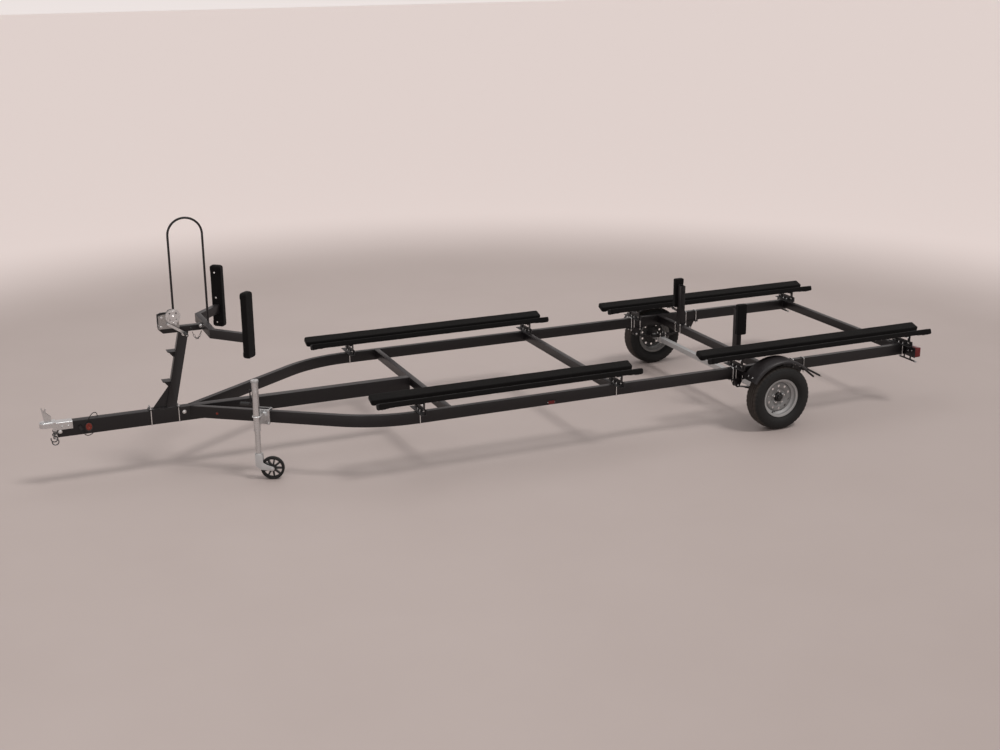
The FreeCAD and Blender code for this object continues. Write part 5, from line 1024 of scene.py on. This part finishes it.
for side in (1, -1):
    rail = side * RAIL_MID
    for rear in BRACKET_STATIONS:
        u_bolt(at(rear + 0.021, rail, RAIL_MID_UP), ACROSS, UP, *BRACKET_U)
        for hand in (-1, 1):
            y = rail + hand * BRACKET_ASIDE
            bolt("hex", at(rear + 0.028, y, 0.6735), (0, side * hand * math.sin(BUNK_TILT), -math.cos(BUNK_TILT)))
            bolt("hex", at(rear + 0.012, y, BRACKET_LOW), FORWARD)
            bolt("nut", at(rear, y, BRACKET_LOW), -FORWARD)
    for x in SLIDER_STATIONS:
        u_bolt(at(x, rail, RAIL_MID_UP), ACROSS, -UP, *SLIDER_U)
        tie_plate(x, rail, 0.019, 0.050, 0.4663, 0.4726)
    for hand in (-1, 1):
        u_bolt(at(0, rail + hand * 0.0305, WHEEL_UP), FORWARD, UP, *AXLE_U)
    for y in GUIDE_POST_FACES:
        u_bolt(at(GUIDE_X, side * y, 0.5425), FORWARD, UP, *GUIDE_U)
    tie_plate(GUIDE_X, side * 0.5366, 0.041, 0.060, 0.5809, 0.5866)
    tie_plate(0, rail, 0.048, 0.044, 0.3570, 0.3650)
for x in POST_STATIONS:
    u_bolt(at(x, 0, 0.5171), ACROSS, UP, *POST_U)
    tie_plate(x, 0, 0.012, 0.056, 0.5870, 0.5931)
grown("u_bolts", line_mesh("u_bolt_lines", CLAMPS), clamp, "chassis", "zinc", Material=BRIGHT)
plates("tie_plates", TIES, PAINT, "black_paint")
print("U-bolts:", len(CLAMPS), "tie plates:", len(TIES))

# %% [markdown]
# Where two tubes meet there is a weld: a narrow, slightly lumpy bead under the same paint. The
# tree resamples a chain of lines, gives it a round section and pushes its points about with noise.

# %% Welds
CROSS_LOW = RAIL_TOP - 0.0762
CROSS_FRONTS = (3.233, 1.643, 0.067, -1.512)
TONGUE_HALF = 0.0381
POST_HALF = 0.0254
POST_X, POST_FOOT = 5.402, 0.5869
POST_LEAN = -150.0 / 656.1
WELDS = []

weld = Growth("weld_bead", Bead_Radius=0.0032, Material=None)
weld_line = weld.node("GeometryNodeResampleCurve", {"mode": "LENGTH"}, {"Curve": weld.line(), "Length": 0.0045})
weld_tube = weld.tube(weld_line, 7, weld.given("Bead_Radius"))
weld_noise = weld.node("ShaderNodeTexNoise", {}, {"Scale": 190.0, "Detail": 1.0}, output=1)
weld_middle = weld.node("ShaderNodeVectorMath", {"operation": "SUBTRACT"}, {0: weld_noise, 1: (0.5, 0.5, 0.5)})
weld_push = weld.node("ShaderNodeVectorMath", {"operation": "SCALE"}, {0: weld_middle, "Scale": 0.0030})
weld.finish(weld.node("GeometryNodeSetPosition", {}, {"Geometry": weld_tube, "Offset": weld_push}))

for front in CROSS_FRONTS:
    for side in (1, -1):
        inner = side * (RAIL_OUT - RAIL_WIDE)
        for x in (front + 0.001, front - 0.0518):
            WELDS.append([at(x, inner, CROSS_LOW), at(x, inner, RAIL_TOP - 0.004)])
        WELDS.append([at(front - 0.048, inner, CROSS_LOW), at(front - 0.004, inner, CROSS_LOW)])
for side in (1, -1):
    edge = side * TONGUE_HALF
    WELDS.append([at(3.234, edge, 0.4580), at(3.234, edge, 0.5760)])
    for z in (RAIL_LOW, RAIL_TOP):
        WELDS.append([at(5.2150, edge, z), at(5.2450, edge, z)])
for edge in (-POST_HALF, POST_HALF):
    WELDS.append([at(POST_X - 0.043, edge, POST_FOOT), at(POST_X + 0.043, edge, POST_FOOT)])
for height in (0.825, 1.084):
    x = POST_X + 0.043 + (height - POST_FOOT) * POST_LEAN
    for z in (height, height - 0.005):
        WELDS.append([at(x, -POST_HALF, z), at(x, POST_HALF, z)])
grown("welds", line_mesh("weld_lines", WELDS), weld, "chassis", "black_paint", 50, Material=PAINT)
print("welds:", len(WELDS))

# %% [markdown]
# Staples hold the turned carpet under the long boards. Each is a thin wire across the seam.

# %% Staples
staple = Growth("staple", Material=None)
staple_bar = staple.node("GeometryNodeMeshCube", {}, {"Size": (0.0012, 0.0115, 0.0012)})
staple.finish(staple.on_points(staple_bar, "Y"))
grown("staples", marked_points("staple_points", STAPLES), staple, "chassis", "zinc", Material=BRIGHT)
print("staples:", len(STAPLES))

# %% [markdown]
# The winch is zinc plated, with a roll of webbing between two flanges on the drum. The near
# flange is gloss black as painted shade behind the holes of the gear. The roll's ends show its
# turns as fine rings. The crank has a ribbed black grip, and a short chain hangs under the arm.

# %% Winch details
DRUM_AT = at(5.339, 0, 1.398)
CRANK_AT = Vector((3.036931, 0, 1.337048))
CRANK_TURN, CRANK_LONG = math.radians(214), 0.160
GRIP_RIBS, RIB_PITCH = 12, 0.006
CHAIN_LINKS, CHAIN_FROM, CHAIN_LONG, CHAIN_SAG = 9, Vector((2.838, 0.0315, 1.262)), 0.093, 0.087


def webbing(name, middle, colour, rings):
    """Woven strap: fine ribs across it, and rings where its edges are stacked."""
    strap = Finish(name)
    ribs = (strap.parts(strap.spot())[1] * 2600.0).sine()
    turns = (strap.radius(middle) * rings).sine()
    dirt = strap.noise(40.0, 4.0)
    shade = (ribs * 0.25 + turns * 0.2 + dirt * 0.6).clamped()
    strap.set(Base_Color=strap.mix(shade, darker(colour, 0.55), colour), Roughness=0.85)
    strap.set(Normal=strap.bump(ribs * 0.4 + turns * 0.6, 0.0006, 0.7))
    return strap.material


def drum_part(name, outline, material, ease, segments=64):
    turned(name, outline, DRUM_AT, ACROSS, material, "drum", "zinc", ease=ease, segments=segments)


def chain_link(index):
    """A link of the chain, as a line; every second one is turned."""
    share = index / (CHAIN_LINKS - 1)
    bow = 2 * share - 1
    spot = CHAIN_FROM - Vector((CHAIN_LONG * share, 0, CHAIN_SAG * (1 - bow ** 2)))
    way = Vector((-CHAIN_LONG, 0, 4 * CHAIN_SAG * bow)).normalized()
    aside = ACROSS if index % 2 else way.cross(ACROSS)
    return [spot + way * (a * 0.0140) + aside * (b * 0.0062)
            for a, b in ((0.0, 1), (1, 1), (1, -1), (-1, -1), (-1, 1), (0.01, 1))]


strap = webbing("strap_webbing", DRUM_AT, (0.055, 0.055, 0.06, 1), 4200.0)
drum_part("strap_roll", [(-0.006, 0.020), (-0.006, 0.0372), (0.0575, 0.0365), (0.0575, 0.020)], strap,
          0.0015, 72)
drum_part("drum_flange_far", band(-0.0124, -0.0094, 0.010, 0.046), DULL, 0.0008)
# Painted shade: the near flange sits behind the holes of the gear and is gloss black, so that the holes look dark.
drum_part("drum_flange_near", band(0.0604, 0.0634, 0.010, 0.046), GLOSS_BLACK, 0.0008)
ribs = [(0.0955, 0.0), (0.0955, 0.0150, 0.002), (0.0990, 0.0150)]
for index in range(GRIP_RIBS):
    y = 0.1010 + index * RIB_PITCH
    ribs += [(y + along, radius, 0.0006) for along, radius in
             ((0, 0.0140), (0.0012, 0.0134), (0.0030, 0.0134), (0.0042, 0.0140))]
ribs += [(0.1750, 0.0152, 0.002), (0.1785, 0.0140, 0.002), (0.1790, 0.0)]
turned("crank_grip", ribs, CRANK_AT + spoke(CRANK_TURN) * CRANK_LONG, ACROSS, BLACK_PLASTIC, "crank", "zinc",
       ease=0.0005, steps=2, segments=40)
bolt("low_nut", DRUM_AT + ACROSS * 0.0775, ACROSS, "drum")
bolt("nut", CRANK_AT + ACROSS * 0.0952, ACROSS, "crank")
for x, y in itertools.product((2.958, 3.096), (0.006, 0.046)):
    bolt("hex", (x, y, 1.2999), UP, "chassis", ZINC)
for x, z in ((2.972, 1.330), (3.094, 1.316), (3.086, 1.396)):
    bolt("round", (x, 0.0702, z), ACROSS, "chassis", ZINC)
for low, high, name in ((0.0445, 0.0490, "rim"), (0.0130, 0.0180, "hub")):
    drum_part("gear_%s_ring" % name, [
        (0.0765, low), (0.0765, high), (0.0785, high - 0.001), (0.0785, low + 0.001)], BRIGHT, 0.0005)
grown("winch_chain", line_mesh("winch_chain_lines", [chain_link(i) for i in range(CHAIN_LINKS)]), clamp,
      "chassis", "zinc", Material=CHAIN, Bend_Radius=0.006, Wire_Radius=0.0019)
print("winch details on the drum and the crank")

# %% [markdown]
# The jack is zinc plated tube. A pull pin locks its swivel, a strap holds the swivel plate, and
# the crank ends in a black grip that turns about its own axis on the real one. The fork is two
# bent cheeks under a crown, and its wheel is a hub, nine spokes and a rubber tread.

# %% Jack details
JACK = at(4.780, 0.520, 0)
PIVOT = Vector((2.362768, 0.42294, 0.530))
FORK_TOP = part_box("jack_fork")[1][2]
RAIL_TURN, CASTER_TURN = math.radians(35.5), math.radians(20)
FORE = Vector((math.cos(RAIL_TURN), -math.sin(RAIL_TURN), 0))
OUT = Vector((math.sin(RAIL_TURN), math.cos(RAIL_TURN), 0))
BACK = Vector((-math.cos(CASTER_TURN), math.sin(CASTER_TURN), 0))
ASIDE = Vector((-BACK.y, BACK.x, 0))
ROLLER_AT = JACK + BACK * 0.112 + up(0.1015)
GRIP_AT = JACK + FORE * 0.0468 + up(0.676)
PIN_AT = PIVOT + OUT * 0.0385 + FORE * 0.036 + up(0.036)
SPOKES, SPOKE_FROM, SPOKE_TO, SPOKE_WIDE, SPOKE_DEEP = 9, 0.0215, 0.0815, 0.017, 0.026
CHEEK_THICK, CHEEK_ASIDE = 0.0045, 0.0305
JACK_GRIP = [(0.0075, 0.0), (0.0075, 0.0148, 0.003), (0.016, 0.0142), (0.050, 0.0156, 0.02), (0.084, 0.0142),
             (0.0925, 0.0150, 0.004), (0.0930, 0.0)]
JACK_CAP = [(-0.001, 0.0), (-0.001, 0.0335, 0.003), (0.0150, 0.0335, 0.006), (0.0185, 0.012, 0.004), (0.0195, 0.0)]
PULL_PIN = [(-0.004, 0), (-0.004, 0.0075), (0.012, 0.0075), (0.012, 0.0050), (0.026, 0.0050), (0.026, 0.0095),
            (0.032, 0.0095), (0.032, 0)]
TREAD = [(-0.0190, 0.0800), (-0.0215, 0.0900), (-0.0200, 0.0985, 0.006), (-0.0120, 0.1014, 0.006), (0.0, 0.1015),
         (0.0120, 0.1014, 0.006), (0.0200, 0.0985, 0.006), (0.0215, 0.0900), (0.0190, 0.0800)]
CROWN = [(-0.030, 0.0106), (-0.030, 0.0300), (-0.011, 0.0325, 0.003), (-0.002, 0.0325, 0.003), (0, 0.0270),
         (0, 0.0106)]
CHEEK = [(-0.030, FORK_TOP - 0.008, 0.004), (-0.030, 0.132, 0.020), (0.012, 0.096, 0.020), (0.0990, 0.083, 0.012),
         (0.1290, 0.090, 0.014), (0.1290, 0.114, 0.014), (0.0660, 0.138, 0.020), (0.036, 0.158, 0.020),
         (0.034, FORK_TOP - 0.008, 0.004)]


def roller_spokes(name):
    """Tapered bars from the hub to the tread, as one mesh."""
    mesh = new_mesh(name, [])
    with worked(mesh) as work:
        for index in range(SPOKES):
            turn = Matrix.Rotation(2 * math.pi * (index + 0.3) / SPOKES, 4, ASIDE)
            for vertex in bmesh.ops.create_cube(work, size=1.0)["verts"]:
                share = vertex.co.z + 0.5
                half = SPOKE_WIDE * (1.0 - 0.35 * share)
                spot = ASIDE * (vertex.co.y * SPOKE_DEEP) + BACK * (vertex.co.x * half)
                vertex.co = ROLLER_AT + turn @ (spot + up(SPOKE_FROM + (SPOKE_TO - SPOKE_FROM) * share))
        ease_edges(work, 0.0012)
    finish_piece(add_object(name, cleaned(mesh, 30)), BLACK_PLASTIC, "jack_roller", "roller")


def fork_cheek(name, aside, *replaced):
    """Flat sheet in the plane of BACK and up, centred at aside."""
    outline = filleted(CHEEK, 0.01, 5)
    size = len(outline)
    points = [JACK + BACK * p[0] + ASIDE * (aside + hand * CHEEK_THICK) + up(p[1])
              for hand in (-0.5, 0.5) for p in outline]
    faces = [tuple(range(size))[::-1], tuple(range(size, 2 * size))] + strip(0, size, size)
    mesh = new_mesh(name, points, faces=faces)
    with worked(mesh) as work:
        ease_edges(work, 0.001, [e for e in work.edges if e.calc_face_angle(0) > 1.2])
    finish_piece(add_object(name, cleaned(mesh, 30)), GALVANISED, "jack_caster", "zinc", *replaced)


for name, outline, centre, axis, finish, ease, segments in (
        ("jack_grip", JACK_GRIP, GRIP_AT, FORE, BLACK_PLASTIC, 0.001, 40),
        ("jack_cap", JACK_CAP, JACK + up(0.8715), UP, SILVER, 0.002, 56),
        ("jack_band_439", band(0, 0.008, 0.0283, 0.0308), JACK + up(0.4395), UP, ZINC, 0.0006, 56),
        ("jack_band_790", band(0, 0.006, 0.0283, 0.0308), JACK + up(0.790), UP, ZINC, 0.0006, 56),
        ("pull_pin", PULL_PIN, PIN_AT, OUT, ZINC, 0.0008, 32)):
    turned(name, outline, centre, axis, finish, "jack_body", "zinc", ease=ease, segments=segments)
wire = [Vector((0, 0.011)) + Vector((math.cos(a), math.sin(a))) * 0.0018 for a in
        (2 * math.pi * i / 10 for i in range(10))]
pull_ring = lathe("pull_ring", wire, PIN_AT + OUT * 0.029 - up(0.013), FORE, 32)
finish_piece(pull_ring, ZINC, "jack_body", "zinc")
bolt("big", PIVOT + OUT * 0.0425, OUT, "chassis", ZINC)
for along, z in itertools.product((-0.060, 0.060), (0.472, 0.5876)):
    spot = PIVOT + FORE * along + up(z - PIVOT.z)
    bolt("hex", spot + OUT * 0.014, OUT, "chassis", ZINC)
    bolt("nut", spot - OUT * 0.0591, -OUT, "chassis", ZINC)
for hand in (-1, 1):
    bolt("big", ROLLER_AT + ASIDE * (hand * 0.0350), ASIDE * hand, "jack_caster", ZINC)
turned("roller_tread", TREAD, ROLLER_AT, ASIDE, BLACK_RUBBER, "jack_roller", "roller", "jack_wheel", ease=0.001,
       segments=72)
turned("roller_hub", band(-0.024, 0.024, 0.0085, 0.0230), ROLLER_AT, ASIDE, BLACK_PLASTIC, "jack_roller",
       "roller", ease=0.0015, segments=40)
roller_spokes("roller_spokes")
fork_cheek("fork_cheek_far", -CHEEK_ASIDE)
fork_cheek("fork_cheek_near", CHEEK_ASIDE, "jack_fork")
turned("fork_crown", CROWN, JACK + up(FORK_TOP), UP, GALVANISED, "jack_caster", "zinc", segments=48)
turned("fork_pin", band(-0.034, 0.034, 0, 0.0075), ROLLER_AT, ASIDE, ZINC, "jack_caster", "zinc", ease=0.001,
       segments=24)
strap_line = [JACK + FORE * a + OUT * o + up(0.568)
              for a, o in ((0.0340, -0.050), (0.0340, 0.0345), (-0.0340, 0.0345), (-0.0340, -0.050))]
grown("jack_strap", line_mesh("jack_strap_line", [strap_line]), clamp, "jack_body", "zinc", Material=BRIGHT,
      Bend_Radius=0.031, Wire_Radius=0.0046)
print("jack at", tuple(round(v, 3) for v in JACK), "fork top", round(FORK_TOP, 4))

# %% [markdown]
# The tail lights are black boxes with a red lens that wraps round the outer end. The lens shows
# fine cells under a smooth coat. The side markers have the same lens on a black base, and two
# small round reflectors sit near the front.

# %% Lenses
TAIL_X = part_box("tail_light_left")[0][0]
BAR_X, BAR_UP, BAR_RADIUS = TAIL_X + 0.0672, 0.446, 0.0080
PLATE_X = (0.0645, 0.0690)
MARKER_THICK, MARKER_RIM = 0.005, 0.004
REFLECTOR_AT = Vector((2.69630, 0.18503, 0.5277)) + OUT * 0.0002


def lamp_block(side, y, z, x):
    """Corners of a block behind the trailer, from its three ranges on the left side."""
    ys = sorted((side * y[0], side * y[1]))
    return Vector((TAIL_X + x[0], ys[0], z[0])), Vector((TAIL_X + x[1], ys[1], z[1]))


for name, side in SIDES:
    plates("lamp_box_" + name, [lamp_block(side, (1.030, 1.180), (0.480, 0.576), (0.0, 0.0645))], BLACK_PLASTIC,
           "lamp", 0.006)
    feet = [lamp_block(side, y, (BAR_UP, 0.480), PLATE_X) for y in ((1.020, 1.040), (1.110, 1.130))]
    plates("lamp_plate_" + name, [lamp_block(side, (0.961, 1.186), (0.478, 0.576), PLATE_X)] + feet, PAINT,
           "black_paint", 0.0008, "tail_light_" + name)
    plates("tail_lens_" + name, [lamp_block(side, (1.034, 1.1830), (0.4845, 0.5765), (-0.003, 0.0635))], RED_LENS,
           "lamp", 0.007)
    plates("tail_reflector_" + name, [lamp_block(side, (1.060, 1.150), (0.4960, 0.5160), (-0.0055, -0.0010))],
           DARK_RED_LENS, "lamp", 0.002)
    turned("lamp_bar_" + name, band(0.006, 0.228, 0, BAR_RADIUS), (BAR_X, side * 0.970, BAR_UP), (0, side, 0),
           PAINT, "chassis", "black_paint", ease=0.0015, segments=24)
    for y, way in ((0.9765, -1), (1.1975, 1)):
        bolt("knob", (BAR_X, side * y, BAR_UP), (0, way * side, 0), "chassis", GALVANISED)
    for y, z in ((1.080, 0.530), (1.135, 0.542)):
        bolt("button", (TAIL_X + PLATE_X[1], side * y, z), (1, 0, 0))
    low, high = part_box("side_marker_" + name)
    face = side * (RAIL_OUT + MARKER_THICK)
    ys = sorted((side * RAIL_OUT, face))
    plates("marker_base_" + name, [(Vector((low[0] - MARKER_RIM, ys[0], low[2] - MARKER_RIM)),
                                    Vector((high[0] + MARKER_RIM, ys[1], high[2] + MARKER_RIM)))],
           BLACK_PLASTIC, "lamp", 0.002)
    for x in (low[0] - 0.0005, high[0] + 0.0005):
        bolt("screw", (x, face, (low[2] + high[2]) / 2), (0, side, 0))
for side in (1, -1):
    for y, z in ((0.985, 0.545), (1.010, 0.515), (0.985, 0.500)):
        bolt("hex", (TAIL_X + 0.0653, side * y, z), (-1, 0, 0))
marker_lens = turned("tongue_marker_lens", [(0, 0), (0, 1.0), (0.0040, 0.98, 0.0012), (0.0046, 0.80), (0.0048, 0)],
                     (0, 0, 0), ACROSS, DARK_RED_LENS, "chassis", "lamp", ease=0.0008, segments=48)
for vertex in marker_lens.data.vertices:
    vertex.co = Vector((3.757 + 0.0262 * vertex.co.x, 0.0485 + vertex.co.y, 0.5180 + 0.0320 * vertex.co.z))
turned("front_reflector_cup", [(-0.002, 0), (-0.002, 0.0150), (0.0035, 0.0145), (0.0035, 0)], REFLECTOR_AT, OUT,
       BLACK_PLASTIC, "chassis", "lamp", ease=0.001, segments=40)
turned("front_reflector", [(0.003, 0), (0.003, 0.0115), (0.0050, 0.0110), (0.0062, 0.004), (0.0064, 0)],
       REFLECTOR_AT, OUT, DARK_RED_LENS, "chassis", "lamp", ease=0.0008, segments=40)

# %% [markdown]
# The fenders are bolted to their arms through the skin, with two brace rods behind each. The chain
# ears and the coupler are bolted through the tongue, and the bow boards through their tubes. The
# heads sit where the photograph shows them.

# %% Bolts
LUGS, LUG_RING, LUG_OUT = 5, 0.05715, 0.0079
FENDER_OUTSIDE, FENDER_INSIDE = 0.3679, 0.3590
BRACE_RADIUS = 0.0098
BRACES = (("outer", 1.228, (-2.607, 0.5660), (-2.7960, 0.4590)),
          ("inner", 1.152, (-2.640, 0.5440), (-2.7820, 0.4290)))
for name, side in SIDES:
    out = Vector((0, side, 0))
    for degrees in (37.0, 129.0):
        way = spoke(math.radians(degrees))
        for y in (1.150, 1.220):
            bolt("round", at(0, side * y, WHEEL_UP) + way * FENDER_OUTSIDE, way)
            bolt("nut", at(0, side * y, WHEEL_UP) + way * FENDER_INSIDE, -way)
    bolt("big", at(6.338, side * 0.0431, 0.504), out)
    for x in (6.268, 6.320):
        bolt("hex", at(x, side * 0.0434, 0.5480), out, "chassis", ZINC)
    for index in range(LUGS):
        way = spoke(math.radians(90) + 2 * math.pi * index / LUGS)
        bolt("lug", at(0, side * (TRACK + LUG_OUT), WHEEL_UP) + way * LUG_RING, out, name + "_wheel")
    middle, back, inward = bow_frame(side)
    for z in (1.150, 1.555) if side > 0 else (1.145, 1.370, 1.600):
        bolt("button", middle + back * 0.0010 - inward * 0.008 + up(z), -back)
    for x in (-0.325, 0.325):
        for hand in (-1, 1):
            bolt("nut", at(x, side * RAIL_MID + hand * 0.0370, 0.4094), ACROSS * hand)
    bolt("big", (2.9499, side * 0.0382, 0.5354), out)
for x, y, z in ((5.100, 0.0262, 1.280), (5.100, -0.0262, 1.280), (5.252, 0.0256, 1.225)):
    bolt("big", at(x, y, z), (0, math.copysign(1, y), 0))
for height in (0.790, 0.935):
    for side in (1, -1):
        bolt("nut", at(GUIDE_X, side * 0.4985, height), (0, -side, 0), "chassis", PAINT)
for name, side in SIDES:
    for place, y, start, end in BRACES:
        start, end = Vector((start[0], side * y, start[1])), Vector((end[0], side * y, end[1]))
        turned("fender_brace_%s_%s" % (place, name), band(0, (end - start).length, 0, BRACE_RADIUS), start,
               end - start, PAINT, "chassis", "black_paint", segments=24)
for (kind, body, material), marks in BOLTS.items():
    grown("bolts_%s_%s_%s" % (kind, body, material.name), marked_points("bolt_points", marks), fastener, body,
          "rim_silver" if kind == "lug" else "zinc", Material=material, **measures(kind))
print("fasteners:", sum(len(marks) for marks in BOLTS.values()))

# %% [markdown]
# The remaining solids keep their own mesh and take a finish. The longest name that fits decides,
# and what no name fits is painted.

# %% Finish the solids
FINISHES = {
    "coupler": ZINC, "safety_chains": CHAIN, "light_lead": BLACK_RUBBER, "tongue_marker": BLACK_PLASTIC,
    "side_marker": RED_LENS, "tyre": RUBBER, "wheel": SILVER, "bunk_": CARPET, "guide_board": CARPET,
    "bow_board": CARPET, "winch": ZINC, "winch_frame": FRAME_ZINC, "jack": ZINC, "jack_crank": PAINT,
    "tail_light": BLACK_PLASTIC,
}


def finish_for(name):
    fits = [start for start in FINISHES if name.startswith(start)]
    return FINISHES[max(fits, key=len)] if fits else PAINT


for name, piece in nodes.items():
    coated(piece.data, finish_for(name))
print("solids finished:", len(nodes))
